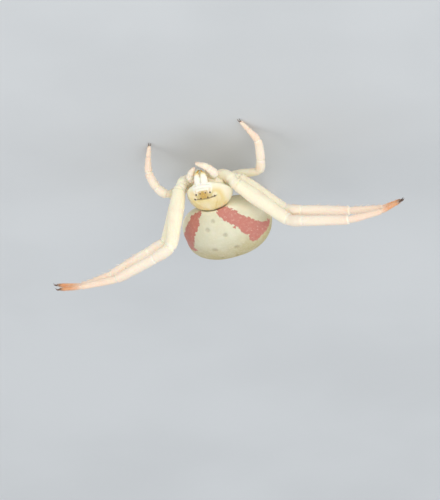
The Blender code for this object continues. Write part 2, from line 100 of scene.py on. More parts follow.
# Legs, as in the solids: side, coxa start, femur start, radii, then length, azimuth and pitch of
# femur, patella, tibia, metatarsus and tarsus
COXA, FEMUR, PATELLA, TIBIA, METATARSUS, TARSUS = range(6)
FIRST_RADII = (0.385, 0.54, 0.4, 0.37, 0.25, 0.165)
SECOND_RADII = (0.32, 0.45, 0.39, 0.365, 0.25, 0.165)
THIRD_RADII = (0.23, 0.33, 0.32, 0.31, 0.24, 0.165)
FOURTH_RADII = (0.21, 0.3, 0.28, 0.27, 0.23, 0.165)
LEGS = {
    "leg1_right": (-1, (0.7, 0.78, -2.02), (1.89, 0.84, -1.33), FIRST_RADII, (
        (4.8, -28.7, 36), (1.5, 23.7, 23.2), (3.4, -4.2, 8.4), (2.4, 2.1, -2.9), (1.6, 3.7, -18.5))),
    "leg2_right": (-1, (0.75, 1.6, -1.75), (1.77, 1.56, -2.24), SECOND_RADII, (
        (4.46, -22.3, 37.6), (1.4, 13.6, 19.7), (3.45, -9.8, 6.9), (2.35, -6.7, 2.6), (1.45, 7, -10.4))),
    "leg3_right": (-1, (0.66, 2.1, -1.95), (1.06, 2.37, -2.9), THIRD_RADII, (
        (2.57, 13.6, 11.8), (0.95, 66.6, -28), (1.5, 77.5, -37.5), (1.1, 116.6, -25), (0.97, 103, None))),
    "leg4_right": (-1, (0.42, 2.5, -1.99), (1.25, 3.05, -2.52), FOURTH_RADII, (
        (2.6, -80, -4), (0.95, -90, -15), (1.3, -93, -34), (1.0, -95, -34), (0.85, -93, None))),
    "leg1_left": (1, (0.7, 0.78, -2.02), (1.98, 0.31, -1.51), FIRST_RADII, (
        (4.7, -29, 78.6), (1.5, -17.1, 11.9), (3.4, -16.9, 8.4), (2.6, 4.5, 4.7), (1.7, 2.6, -3.6))),
    "leg2_left": (1, (0.75, 1.6, -1.75), (2.28, 1.25, -2.0), SECOND_RADII, (
        (4.3, -13.7, 72.5), (1.4, -17, 8.3), (3.35, -11.3, 16), (2.3, 1, 11.1), (1.73, 15.9, -5.6))),
    "leg3_left": (1, (0.66, 2.1, -1.95), (1.82, 2.77, -2.93), THIRD_RADII, (
        (2.6, 47, 33), (0.9, 31.3, -35.5), (1.25, 75.3, -36.3), (1.11, 112.7, -64.8), (0.85, 119, None))),
    "leg4_left": (1, (0.42, 2.5, -1.99), (1.3, 3.05, -2.5), FOURTH_RADII, (
        (2.6, -75, -4), (0.95, -84, -15), (1.3, -88, -34), (1.0, -90, -34), (0.85, -90, None))),
}
# How far the middle of each coxa sags below the straight line from its root
COXA_SAG = {"leg1_right": (0.0, -0.13, -0.24), "leg1_left": (0.1, -0.1, -0.16)}
LEG_WORDS = ("coxa", "femur", "tibia", "metatarsus", "tarsus")
# Swelling of each piece: share of its length, which of the leg's radii, and factor on it
SWELLING = (
    ((0, COXA, 1), (0.5, COXA, 1.08), (0.8, COXA, 1.12), (1, COXA, 1.04)),
    ((0, FEMUR, 0.74), (0.12, FEMUR, 0.88), (0.35, FEMUR, 1), (0.8, FEMUR, 0.87), (1, FEMUR, 0.79)),
    ((0, PATELLA, 0.98), (0.55, PATELLA, 1.06), (1, PATELLA, 0.94)),
    ((0, PATELLA, 0.92), (0.2, TIBIA, 1.02), (0.78, TIBIA, 0.95), (1, TIBIA, 0.85)),
    ((0, METATARSUS, 1), (0.15, METATARSUS, 1.06), (0.8, METATARSUS, 0.85), (1, METATARSUS, 0.77)),
    ((0, TARSUS, 0.98), (0.3, TARSUS, 1.02), (0.8, TARSUS, 0.8), (0.95, TARSUS, 0.55), (1, TARSUS, 0.2)),
)
# Value along a leg at the end of its toe
TOE_ALONG = 6.0
# The two rear pairs keep the colour of this value along them down to the toe
HIND_PALENESS = 4.7
# Creases: value along the leg, from trochanter to tarsus, and depth as a share of the radius
CREASES = ((0.86, 0.07), (1.07, 0.1), (2.0, 0.17), (3.0, 0.1), (4.0, 0.15), (5.0, 0.1))
CREASE_WIDTH = 0.05
# Height of the lips on both sides of a crease, as a share of the radius
CREASE_LIP = 0.035
# In widths of a crease: places of rings at it, least step between rings, and place of its lips
CREASE_RINGS = (-2.2, -1.2, -0.5, 0, 0.5, 1.2, 2.2)
CLOSEST_RINGS = 0.3
LIP_PLACE = 2.2
# Rounding of each joint: share of the shorter piece beside it, and its limit
CORNER_SHARE = 0.45
CORNER_REACH = 0.55
# Height over the floor of the middle of a toe that stands on it
TOE_HEIGHT = 0.0975
# First ring of each leg, inside the chest: side distance, how far the roots' spread about the
# chest's middle is kept, and share of the radius
INNER_SIDE = 0.4
INNER_SPREAD = 0.6
INNER_RADIUS = 0.9
CHEST_MIDDLE_Y = 1.0

# Palps, chelicerae, mouth lobes and fangs: middle line, and radius at shares of its length
PALPS = {
    "palp_right": ((-0.4, 0.22, -1.8), (-0.94, -0.5, -1.5), (-0.66, -1.22, -1.7), (0.1, -1.58, -1.93)),
    "palp_left": ((0.4, 0.22, -1.8), (0.94, -0.42, -1.52), (0.72, -0.86, -1.62), (0.32, -1.1, -1.9)),
}
PALP_SWELLING = (
    (0, 0.3), (0.2, 0.33), (0.32, 0.34), (0.44, 0.31), (0.57, 0.26), (0.72, 0.235),
    (0.9, 0.16), (0.97, 0.1), (1, 0.04),
)
PALP_CREASES = (0.27, 0.47, 0.64)
PALP_CREASE_DEPTH = 0.12
# A palp has the colours of a leg, from its femur on, over this span of values along
PALP_TINT_REACH = 3.4
CHELICERA = ((0.22, -0.42, -0.55), (0.235, -0.72, -0.98), (0.235, -0.86, -1.24), (0.19, -1.0, -1.48))
CHELICERA_SWELLING = ((0, 0.235), (0.35, 0.25), (0.6, 0.245), (0.85, 0.19), (1, 0.1))
LOBE = ((0.3, 0.6, -1.78), (0.46, -0.1, -1.8), (0.42, -0.72, -1.74))
LOBE_SWELLING = ((0, 0.25), (0.45, 0.38), (0.85, 0.32), (1, 0.14))
FANG = ((0.19, -0.97, -1.44), (0.14, -1.0, -1.58), (0.07, -0.95, -1.68), (0.03, -0.83, -1.73))
FANG_SWELLING = ((0, 0.085), (0.4, 0.06), (1, 0.012))

# Eyes: side distance, place to the rear, lens radius, radius of the mound under it
EYES = {
    "median_rear": (0.26, 0.0, 0.052, 0.11),
    "lateral_rear": (0.74, 0.06, 0.062, 0.19),
    "median_front": (0.2, -0.42, 0.05, 0.11),
    "lateral_front": (0.52, -0.36, 0.066, 0.18),
}
EYE_LOOK = Vector((0.0, 0.5, -1.0)).normalized()
# Shares of the radius of a mound or a lens: depth of its middle under the skin, and height
MOUND_DEPTH = 0.55
LENS_DEPTH = 0.12
LENS_HEIGHT = 0.82
# Rim round a lens, and how far its foot is drawn in, as shares of its radius
RIM_DROP = 0.1
RIM_WIDTH = 0.08
RIM_RELIEF = 0.1
LENS_FOOT = 0.35

# Body
CARAPACE_HALF_WIDTH = 1.65
CARAPACE_FRONT = 1.95
CARAPACE_REAR = 1.2
CARAPACE_CENTRE_Y = 1.1
CARAPACE_BASE_Z = -1.15
CARAPACE_HEIGHT = 1.41
CARAPACE_ROUNDNESS = 2.1
HEAD_NARROWING = 0.3
RIDGE_HALF_WIDTH = 0.66
RIDGE_Y = -0.7
RIDGE_Z = -0.5
RIDGE_RADIUS = 0.15
RIDGE_SWEEP = 0.2
MARGIN_Z = -1.04
MARGIN_SLOPE = -0.133
PLEURA_CENTRE = Vector((0.0, 1.15, -1.45))
PLEURA_HALF = Vector((1.2, 1.4, 0.5))
ABDOMEN_CENTRE = Vector((0.1, 4.22, -0.47))
ABDOMEN_HALF_WIDTH = 3.02
ABDOMEN_FRONT = 2.8
ABDOMEN_REAR = 2.68
ABDOMEN_TOP = 2.5
ABDOMEN_BELOW = 1.75
ABDOMEN_ROUNDNESS = 2.36
ABDOMEN_FRONT_NARROWING = 0.15
ABDOMEN_REAR_FULLNESS = 0.42
ABDOMEN_ROLL = -4.3
ABDOMEN_YAW = 2.3
ABDOMEN_UNDERCUT = 0.95
ABDOMEN_UNDERCUT_FROM = 0.5
# Space that the abdomen leaves round the carapace
WAIST_ROOM = 0.07
PEDICEL = ((0.0, 2.1, -1.42), (0.0, 2.6, -1.44), (0.0, 3.4, -1.4))
PEDICEL_RADIUS = 0.18
# Sigilla: places on the abdomen from its centre, and radius of each dimple
SIGILLA = (
    ((-0.04, -2.46, 1.43), 0.13), ((0.49, -2.1, 1.86), 0.15), ((-0.61, -1.53, 2.17), 0.15),
    ((0.6, -0.36, 2.5), 0.17), ((-0.92, -0.03, 2.4), 0.17),
    ((0.55, 1.0, 2.34), 0.12), ((-0.5, 1.2, 2.24), 0.12),
)
SIGILLUM_DEPTH = 0.07
# Folds of the abdomen: where they set in from its centre, the way over which they grow, how
# close they are in radians for each millimetre, and their depth
REAR_FOLDS_FROM = 0.6
REAR_FOLDS_FADE = 1.6
REAR_FOLDS = 9.0
REAR_FOLD_DEPTH = 0.014
SIDE_FOLDS_FROM = 0.9
SIDE_FOLDS_FADE = 1.4
SIDE_FOLDS = 10.0
SIDE_FOLD_DEPTH = 0.01
# Spinnerets: side and height from the middle of the group, length and radius
SPINNERETS = ((0.17, -0.13, 0.36, 0.15), (0.15, 0.15, 0.32, 0.13), (0.055, 0.02, 0.2, 0.07))
# Share of the length and of the radius, from the root inside the ring to the blunt tip
SPINNERET_PROFILE = ((-0.3, 1), (0.2, 1), (0.55, 0.85), (0.6, 0.72), (0.85, 0.6), (1.0, 0.25))
# Depth of the root under the middle of the group, then places and radii of the ring round it
SPINNERET_ROOT = 0.3
SPINNERET_RING = ((-0.3, 0.48), (0.08, 0.44), (0.2, 0.3))

# Pink bands of the abdomen: azimuth from its front, lower and upper edge as elevations
BAND_LOWER = ((0, 8), (12, 10), (24, 11), (32, 15), (45, 18), (62, 21.5), (84, 16), (100, 5), (112, -6))
BAND_UPPER = (
    (0, 8), (6, 13), (16, 29), (30, 35), (44, 39), (62, 44), (78, 43), (90, 46), (104, 31),
    (112, 4),
)
# Half width of their soft edges, azimuth at which they end, and how much later the left starts
BAND_EDGE = 0.7
BAND_END = 98
LEFT_BAND_LAG = 11
HALF_TURN = 180.0

# Colour of the light that sinks into the skin
SOFT_TINT = (1.0, 0.62, 0.38)
# Order of the skin's materials
LEG_FINISH, HEAD_FINISH, ABDOMEN_FINISH = range(3)

# Claws: reach beyond the toe, drop and distance out of the places of a hook
CLAW = (
    (-0.12, 0.0, 0.03), (0.03, -0.03, 0.055), (0.13, -0.015, 0.07), (0.2, 0.03, 0.08),
    (0.235, 0.085, 0.08),
)
CLAW_RADIUS = 0.034
CLAW_TAPER = 0.88
CLAW_TIP_RADIUS = 0.002
CLAW_CLEARANCE = 0.012
# Teeth of a claw: place on the finer line of its hook, and drop
TEETH = ((4, 0.055), (7, 0.045), (10, 0.035))
TOOTH_RADII = (0.012, 0.003)
TOOTH_LEAN = 0.02
TOOTH_CLEARANCE = 0.01

# Spines under a front leg: first and last value along it, and number of pairs
SPINE_ROWS = ((3.3, 3.92, 4), (4.12, 4.85, 5))
SPINE_RADIUS = 0.019
SPINE_CURL = -0.12
# Stiff bristles of the head: side distance, place to the rear, and length
CROWN = (
    (0.0, -0.2, 0.2), (0.12, 0.55, 0.24), (0.3, 0.95, 0.22), (0.5, 0.35, 0.24), (0.14, 1.35, 0.22),
    (0.62, 0.85, 0.2), (0.95, 0.6, 0.2), (0.4, -0.62, 0.18), (0.16, -0.72, 0.18), (0.75, 1.4, 0.18),
)
CROWN_RADIUS = 0.011
CROWN_CURL = 0.1
CROWN_ALONG = 3.0

BRISTLE_SEED = 11
# Bristles on each square millimetre of head, chest and abdomen, then factors on that of the legs
# for tarsi, metatarsi and coxae
HEAD_DENSITY = 6.0
CHEST_DENSITY = 2.0
ABDOMEN_DENSITY = 9.0
FOOT_TO_COXA = (2.6, 1.4, 0.3)
BRISTLE_RADIUS = 0.0055
BRISTLE_STRAY = 0.16
# Value along a leg from which its bristles lie closer, as a tuft round the toe
TUFT_FROM = 5.7
# Least height of a bristle's tip over the floor
TIP_CLEARANCE = 0.02
# Step that spreads the spines over the top of the bake's map, and radius of a hair's patch on it
GOLDEN_STEP = 0.618
PATCH_RADIUS = 0.0015

# Lights: turn to the spider's right, rise, distance and size in metres, power, share of it, colour
LIGHTS = (
    ("key", CAMERA_TURN + 16, 14, 0.30, 0.28, "key_power", 1.0, (1.0, 0.985, 0.95)),
    ("left", CAMERA_TURN - 76, 24, 0.34, 0.24, "key_power", 0.62, (1.0, 0.97, 0.93)),
    ("right", CAMERA_TURN + 84, 10, 0.34, 0.24, "key_power", 0.42, (1.0, 0.98, 0.94)),
    ("overhead", 160, 72, 0.42, 0.4, "fill_power", 1.0, (0.95, 0.98, 1.0)),
)
SKY_TINT = (0.93, 0.96, 1.0, 1.0)
FLOOR_RADIUS = 3.0


def sized(name, description, default, least):
    """A length property, given in millimetres."""
    return bpy.props.FloatProperty(
        name=name, description=description, default=default * MM, min=least * MM, precision=6,
        subtype="DISTANCE", unit="LENGTH",
    )


class SpiderSizes(bpy.types.PropertyGroup):
    """Fineness of the skin and size of its bristles and spines"""

    ring_step: sized("Ring step", "Distance between the rings of a leg", 0.085, 0.02)
    body_voxel: sized("Head voxel", "Cell of the remesh that fuses the head and chest", 0.042, 0.02)
    abdomen_voxel: sized("Abdomen voxel", "Cell of the remesh that rounds the abdomen", 0.078, 0.03)
    bristle_length: sized("Bristle length", "Usual length of the fine bristles of the legs", 0.15, 0.02)
    bristle_density: bpy.props.FloatProperty(
        name="Bristle density", description="Bristles on a square millimetre of a leg",
        default=22.0, min=0.0, soft_max=60.0,
    )
    spine_length: sized("Spine length", "Length of the paired spines under the front legs", 0.36, 0.05)


def linear(value):
    """A screen value from 0 to 1 as light."""
    return value / 12.92 if value <= 0.04045 else ((value + 0.055) / 1.055) ** 2.4


def colour(name, description, red, green, blue):
    """A colour property whose default is given as it looks on a screen, from 0 to 255."""
    return bpy.props.FloatVectorProperty(
        name=name, description=description, size=3, subtype="COLOR", min=0.0, max=1.0,
        default=[linear(part / 255) for part in (red, green, blue)],
    )


class SpiderColours(bpy.types.PropertyGroup):
    """Colours of the spider"""

    cream: colour("Cream", "Coxae and femora", 247, 239, 212)
    ivory: colour("Ivory", "Tibiae and metatarsi", 246, 232, 213)
    # Blush under the legs is a painted warm reflection
    blush: colour("Blush", "Warm tint under the legs and at the joints", 242, 208, 184)
    tan: colour("Tan", "Tarsi", 220, 156, 106)
    amber: colour("Amber", "Middle of the carapace", 236, 214, 150)
    # Brown also paints the line behind the rear eyes, which is painted shade in the crease there, partly
    # the eyes' own dark rims
    brown: colour("Brown", "Dark marks of the head, freckles, dimples and fang tips", 122, 98, 60)
    ocular: colour("Ocular patch", "Brown patch between the eyes", 205, 165, 82)
    white: colour("White", "Ridge of the face, chelicerae and bristles", 252, 247, 231)
    dorsum: colour("Dorsum", "Top of the abdomen", 222, 218, 190)
    # On the abdomen's rear the olive is partly the skin's own colour and partly painted shade
    olive: colour("Olive", "Rear of the abdomen", 182, 165, 106)
    flank: colour("Flank", "Sides and front of the abdomen", 252, 246, 222)
    rose: colour("Rose", "Bands of the abdomen", 198, 124, 112)
    lens: colour("Lens", "Eyes", 52, 38, 22)
    claw: colour("Claw", "Claws and the ends of the toes", 60, 36, 22)


def lamp(name, description, default):
    """A property for the power of a light, in watts."""
    return bpy.props.FloatProperty(
        name=name, description=description, default=default, min=0.0, unit="POWER"
    )


class StudioSettings(bpy.types.PropertyGroup):
    """Floor, lights and camera"""

    floor: colour("Floor", "Colour of the floor", 214, 217, 219)
    key_power: lamp("Key", "Power of the low soft light in front, which the side lights follow", 0.53)
    fill_power: lamp("Fill", "Power of the soft light overhead", 0.31)
    sky: bpy.props.FloatProperty(
        name="Sky", description="Strength of the light from all around", default=0.57, min=0.0,
    )
    lens: bpy.props.FloatProperty(
        name="Lens", description="Focal length of the camera", default=800.0, min=20.0, unit="CAMERA",
    )


def sizes():
    return bpy.context.scene.spider_sizes


def colours():
    return bpy.context.scene.spider_colours


def at(point):
    """A place given from the eye row, in millimetres over the floor's origin."""
    return EYE_ROW + Vector(point)


def only(*objects):
    """Selects these objects and no others, with the first as the active one."""
    bpy.ops.object.select_all(action="DESELECT")
    for obj in objects:
        obj.select_set(True)
    bpy.context.view_layer.objects.active = objects[0]


def edit(obj, *steps):
    """Runs steps on the whole mesh in edit mode."""
    only(obj)
    bpy.ops.object.mode_set(mode="EDIT")
    bpy.ops.mesh.select_all(action="SELECT")
    for step in steps:
        step()
    bpy.ops.object.mode_set(mode="OBJECT")


def merge_and_face_out():
    bpy.ops.mesh.remove_doubles(threshold=1e-4)
    bpy.ops.mesh.normals_make_consistent(inside=False)


def placed(name, data):
    """A new object in the scene for a mesh, curve, light or camera."""
    obj = bpy.data.objects.new(name, data)
    bpy.context.scene.collection.objects.link(obj)
    return obj


def in_millimetres(name, mesh):
    """An object in millimetres with a copy of a mesh that is in metres."""
    copy = mesh.copy()
    copy.transform(Matrix.Scale(1 / MM, 4))
    return placed(name, copy)


def tube(name, spots, radii, sides):
    """A closed round tube through places in millimetres, with a radius at each."""
    curve = bpy.data.curves.new(name, "CURVE")
    curve.dimensions = "3D"
    curve.bevel_depth = 1.0
    curve.bevel_resolution = (sides - 4) // 2
    curve.use_fill_caps = True
    spline = curve.splines.new("POLY")
    spline.points.add(len(spots) - 1)
    for point, spot, radius in zip(spline.points, spots, radii):
        point.co = (*spot, 1.0)
        point.radius = radius
    obj = placed(name, curve)
    only(obj)
    bpy.ops.object.convert(target="MESH")
    edit(obj, merge_and_face_out)
    return obj


def ball(name, centre, half, segments=32, rings=16):
    """A ball at a place in millimetres, with a half size each way."""
    bpy.ops.object.select_all(action="DESELECT")
    bpy.ops.mesh.primitive_uv_sphere_add(
        segments=segments, ring_count=rings, radius=1.0, location=centre, scale=half
    )
    obj = bpy.context.active_object
    obj.name = name
    bpy.ops.object.transform_apply(location=True, rotation=True, scale=True)
    return obj


def copy_of(node):
    """A merged copy of a solid, in millimetres."""
    obj = in_millimetres(node + "_copy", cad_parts[node].data)
    obj.data.materials.clear()
    edit(obj, merge_and_face_out)
    return obj


def join(objects):
    only(*objects)
    bpy.ops.object.join()
    return objects[0]


def remesh(obj, voxel, passes):
    """Fuses what a mesh holds into one skin of even cells, and smooths it."""
    only(obj)
    obj.data.remesh_voxel_size = voxel
    obj.data.remesh_voxel_adaptivity = 0.0
    bpy.ops.object.voxel_remesh()
    edit(obj, lambda: bpy.ops.mesh.vertices_smooth(factor=0.5, repeat=passes))


def read(items, field, width=1, kind=float):
    """An array with one value, or one row of a width, for each item of a mesh."""
    values = np.empty(len(items) * width, kind)
    items.foreach_get(field, values)
    return values.reshape(-1, width) if width > 1 else values


def points_of(obj):
    return read(obj.data.vertices, "co", 3)


def set_points(obj, points):
    obj.data.vertices.foreach_set("co", points.ravel())
    obj.data.update()


def press(obj, spot, radius, depth, way):
    """Presses a soft dimple into a mesh, against a direction."""
    points = points_of(obj)
    far = np.linalg.norm(points - np.array(spot), axis=1) / radius
    fall = np.exp(-far ** 2)
    set_points(obj, points - np.outer(fall * depth, np.array(way)))


def profile_radius(profile, share):
    """Radius at a share of the length, eased between the marks of a profile."""
    for (low, first), (high, last) in zip(profile, profile[1:]):
        if share <= high:
            blend = max(0.0, (share - low) / (high - low))
            return first + (last - first) * (3 - 2 * blend) * blend ** 2
    return profile[-1][1]


def crease_factor(distance, depth):
    """Thinning of a limb at a distance from a joint, with a low lip on both sides."""
    groove = depth * math.exp(-(distance / CREASE_WIDTH) ** 2)
    lip = CREASE_LIP * math.exp(-((abs(distance) - LIP_PLACE * CREASE_WIDTH) / CREASE_WIDTH) ** 2)
    return 1 - groove + lip


def leg_joints(name):
    """Coxa start, femur start, knee and so on to the toe. A piece with no pitch ends on the floor."""
    side, root, first, _, pieces = LEGS[name]
    spots = [at((side * x, y, z)) for x, y, z in (root, first)]
    for length, azimuth, pitch in pieces:
        if pitch is None:
            rise = math.asin((TOE_HEIGHT - spots[-1].z) / length)
        else:
            rise = math.radians(pitch)
        turn = math.radians(azimuth)
        outward = side * math.cos(rise) * math.cos(turn)
        way = Vector((outward, -math.cos(rise) * math.sin(turn), math.sin(rise)))
        spots.append(spots[-1] + length * way)
    return spots


def place_along(joints, along):
    """Place on a limb whose corners are rounded: 2.5 is half way from joint 2 to joint 3."""
    near = min(max(round(along), 0), len(joints) - 1)
    piece = min(int(along), len(joints) - 2)
    straight = joints[piece].lerp(joints[piece + 1], along - piece)
    if near in (0, len(joints) - 1):
        return straight
    before = joints[near - 1] - joints[near]
    after = joints[near + 1] - joints[near]
    reach = min(CORNER_REACH, CORNER_SHARE * before.length, CORNER_SHARE * after.length)
    length = before.length if along < near else after.length
    away = (along - near) * length
    if abs(away) >= reach:
        return straight
    share = (1 + away / reach) / 2
    start = joints[near] + before.normalized() * reach
    end = joints[near] + after.normalized() * reach
    return (1 - share) ** 2 * start + 2 * share * (1 - share) * joints[near] + share ** 2 * end


def limb_marks(joints, step, creases):
    """Values along a limb where it gets a ring, closer together at its creases."""
    marks = {0.0, len(joints) - 1.0}
    lengths = [(b - a).length for a, b in zip(joints, joints[1:])]
    for piece, length in enumerate(lengths):
        count = math.ceil(length / step)
        marks |= {piece + number / count for number in range(count)}
    for crease in creases:
        length = lengths[min(int(crease), len(lengths) - 1)]
        marks |= {crease + shift * CREASE_WIDTH / length for shift in CREASE_RINGS}
    kept = [0.0]
    for mark in sorted(marks):
        length = lengths[min(int(mark), len(lengths) - 1)]
        if (mark - kept[-1]) * length > CLOSEST_RINGS * CREASE_WIDTH:
            kept.append(mark)
    kept[-1] = len(joints) - 1.0
    return kept


def leg_radius(radii, joints, along):
    piece = min(int(along), len(joints) - 2)
    profile = [(share, radii[which] * factor) for share, which, factor in SWELLING[piece]]
    radius = profile_radius(profile, along - piece)
    length = (joints[piece + 1] - joints[piece]).length
    for crease, depth in CREASES:
        radius *= crease_factor((along - crease) * length, depth)
    return radius


def name_along(obj, spots, marks):
    """Keeps, at each corner, how far along its limb it is."""
    line = np.array([tuple(spot) for spot in spots])
    nearest = [np.argmin(((line - point) ** 2).sum(axis=1)) for point in points_of(obj)]
    values = np.array(marks)[nearest]
    corners = read(obj.data.loops, "vertex_index", kind=np.int32)
    layer = obj.data.attributes.new("along", "FLOAT", "CORNER")
    layer.data.foreach_set("value", values[corners])


def leg_line(name):
    """Places, values along, and radii of a leg's rings, with a first ring inside the chest."""
    side, root, _, radii, _ = LEGS[name]
    joints = leg_joints(name)
    marks = limb_marks(joints, sizes().ring_step / MM, [crease for crease, _ in CREASES])
    sag = 4 * Vector(COXA_SAG.get(name, (0, 0, 0)))
    spots = [place_along(joints, mark) + sag * min(mark, 1) * (1 - min(mark, 1)) for mark in marks]
    widths = [leg_radius(radii, joints, mark) for mark in marks]
    inner_y = CHEST_MIDDLE_Y + INNER_SPREAD * (root[1] - CHEST_MIDDLE_Y)
    inner = at((INNER_SIDE * side, inner_y, PLEURA_CENTRE.z))
    return [inner, *spots], [0.0, *marks], [INNER_RADIUS * widths[0], *widths]


def add_leg(name):
    spots, marks, radii = leg_line(name)
    front = name[3] in "12"
    leg = tube(name + "_shell", spots, radii, 24 if front else 20)
    reach = TOE_ALONG if front else HIND_PALENESS
    name_along(leg, spots, [min(mark, reach) for mark in marks])
    return leg


def rounded_line(points, count):
    """A smooth line through the rounded corners of a few points, its shares and its length."""
    joints = [at(point) for point in points]
    last = len(joints) - 1
    spots = [place_along(joints, last * number / count) for number in range(count + 1)]
    lengths = [0.0]
    for before, after in zip(spots, spots[1:]):
        lengths.append(lengths[-1] + (after - before).length)
    return spots, [length / lengths[-1] for length in lengths], lengths[-1]


def add_palp(name):
    spots, shares, length = rounded_line(PALPS[name], 60)
    radii = []
    for share in shares:
        radius = profile_radius(PALP_SWELLING, share)
        for crease in PALP_CREASES:
            radius *= crease_factor((share - crease) * length, PALP_CREASE_DEPTH)
        radii.append(radius)
    palp = tube(name + "_shell", spots, radii, 20)
    name_along(palp, spots, [1 + PALP_TINT_REACH * share for share in shares])
    return palp


def limb(name, points, swelling, side, count, sides):
    """A smooth limb on one side, through a few points and swollen along its length."""
    spots, shares, _ = rounded_line([(side * x, y, z) for x, y, z in points], count)
    return tube(name, spots, [profile_radius(swelling, share) for share in shares], sides)


def surface_of(obj):
    """Surface of a mesh, to find places on it."""
    mesh = obj.data
    polygons = [tuple(polygon.vertices) for polygon in mesh.polygons]
    return BVHTree.FromPolygons([vertex.co for vertex in mesh.vertices], polygons)


def eye_places(surface):
    """Name, place, outward direction, lens radius and mound radius of each eye."""
    for side, word in SIDES:
        for name, (across, back, lens, mound) in EYES.items():
            above = at((side * across, back, 0.0)) - EYE_LOOK * 1.5
            spot, normal, _, _ = surface.ray_cast(above, EYE_LOOK)
            if spot is None:
                raise RuntimeError(f"no place on the head for eye {name} {word}")
            yield f"{name}_{word}", spot, normal, lens, mound


def signed_power(values, exponent):
    return np.sign(values) * np.abs(values) ** exponent


def add_carapace():
    """Low round dome with a steep, narrower face and the ridge across it."""
    dome = ball("carapace_shell", (0, 0, 0), (1, 1, 1), 128, 80)
    across, along, up = signed_power(points_of(dome), 2 / CARAPACE_ROUNDNESS).T
    length = np.where(along < 0, CARAPACE_FRONT, CARAPACE_REAR)
    width = CARAPACE_HALF_WIDTH * (1 - HEAD_NARROWING * np.minimum(0, along) ** 2)
    y = CARAPACE_CENTRE_Y + length * along
    margin = MARGIN_Z + MARGIN_SLOPE * (y - CARAPACE_CENTRE_Y)
    z = np.maximum(CARAPACE_BASE_Z + CARAPACE_HEIGHT * up, margin)
    set_points(dome, np.stack([width * across, y, z], axis=1) + np.array(EYE_ROW))
    sides = [step / 6 - 1 for step in range(13)]
    spots = [at((RIDGE_HALF_WIDTH * side, RIDGE_Y + RIDGE_SWEEP * side ** 2, RIDGE_Z)) for side in sides]
    radii = [RIDGE_RADIUS * (1 - 0.5 * side ** 2) for side in sides]
    return join([dome, tube("ridge", spots, radii, 16)])


def add_head_and_chest():
    """Carapace with the mounds of the eyes, sternum, and the soft sides between the coxae."""
    carapace = add_carapace()
    surface = surface_of(carapace)
    parts = [carapace, copy_of("sternum"), ball("pleura", at(PLEURA_CENTRE), PLEURA_HALF)]
    for name, spot, normal, _, mound in eye_places(surface):
        centre = spot - normal * MOUND_DEPTH * mound
        parts.append(ball("mound_" + name, centre, (mound, mound, mound), 20, 12))
    chest = join(parts)
    chest.name = "chest_shell"
    remesh(chest, sizes().body_voxel / MM, 6)
    return chest


def add_abdomen():
    """Broad egg, tipped and turned as in the photo, with dimples over its muscle roots and folds."""
    abdomen = ball("abdomen_shell", (0, 0, 0), (1, 1, 1), 160, 100)
    across, along, up = signed_power(points_of(abdomen), 2 / ABDOMEN_ROUNDNESS).T
    forward, rearward = np.maximum(0, -along), np.maximum(0, along)
    swelling = ABDOMEN_REAR_FULLNESS * rearward * (1 - rearward)
    width = ABDOMEN_HALF_WIDTH * (1 - ABDOMEN_FRONT_NARROWING * forward ** 2 + swelling)
    length = np.where(along < 0, ABDOMEN_FRONT, ABDOMEN_REAR)
    height = np.where(up > 0, ABDOMEN_TOP, ABDOMEN_BELOW)
    tip = Matrix.Rotation(math.radians(ABDOMEN_ROLL), 3, "Y")
    turn = Matrix.Rotation(math.radians(ABDOMEN_YAW), 3, "Z")
    points = np.stack([width * across, length * along, height * up], axis=1) @ np.array(turn @ tip).T
    points[:, 1] += ABDOMEN_UNDERCUT * forward * np.maximum(0, ABDOMEN_UNDERCUT_FROM - points[:, 2])
    set_points(abdomen, make_room(points + np.array(ABDOMEN_CENTRE)) + np.array(EYE_ROW))
    remesh(abdomen, sizes().abdomen_voxel / MM, 5)
    centre = at(ABDOMEN_CENTRE)
    for place, radius in SIGILLA:
        way = Vector(place).normalized()
        press(abdomen, centre + Vector(place), radius, SIGILLUM_DEPTH, way)
    fold_abdomen(abdomen, centre)
    return abdomen


def make_room(points):
    """Moves places from the eye row that lie in the carapace out to just beyond its rear."""
    away = points - np.array((0.0, CARAPACE_CENTRE_Y, CARAPACE_BASE_Z))
    half = np.array((CARAPACE_HALF_WIDTH, CARAPACE_REAR, CARAPACE_HEIGHT)) + WAIST_ROOM
    depth = (np.abs(away / half) ** CARAPACE_ROUNDNESS).sum(axis=1)
    inside = (depth < 1) & (away[:, 1] > 0)
    away[inside] *= depth[inside, None] ** (-1 / CARAPACE_ROUNDNESS)
    return away + np.array((0.0, CARAPACE_CENTRE_Y, CARAPACE_BASE_Z))


def fold_abdomen(abdomen, centre):
    """Shallow cross folds on the rear slope and along the sides."""
    points = points_of(abdomen)
    away = points - np.array(centre)
    x, y, z = away.T
    rear = np.clip((y - REAR_FOLDS_FROM) / REAR_FOLDS_FADE, 0, 1)
    low = np.clip((SIDE_FOLDS_FROM - z) / SIDE_FOLDS_FADE, 0, 1)
    wave = np.sin(y * REAR_FOLDS + 0.8 * np.cos(x * 2.1)) ** 3
    side_wave = np.sin(z * SIDE_FOLDS + 1.2 * np.sin(y * 1.7)) ** 3
    depth = REAR_FOLD_DEPTH * rear * wave + SIDE_FOLD_DEPTH * low * side_wave
    unit = away / np.linalg.norm(away, axis=1)[:, None]
    set_points(abdomen, points + unit * depth[:, None])


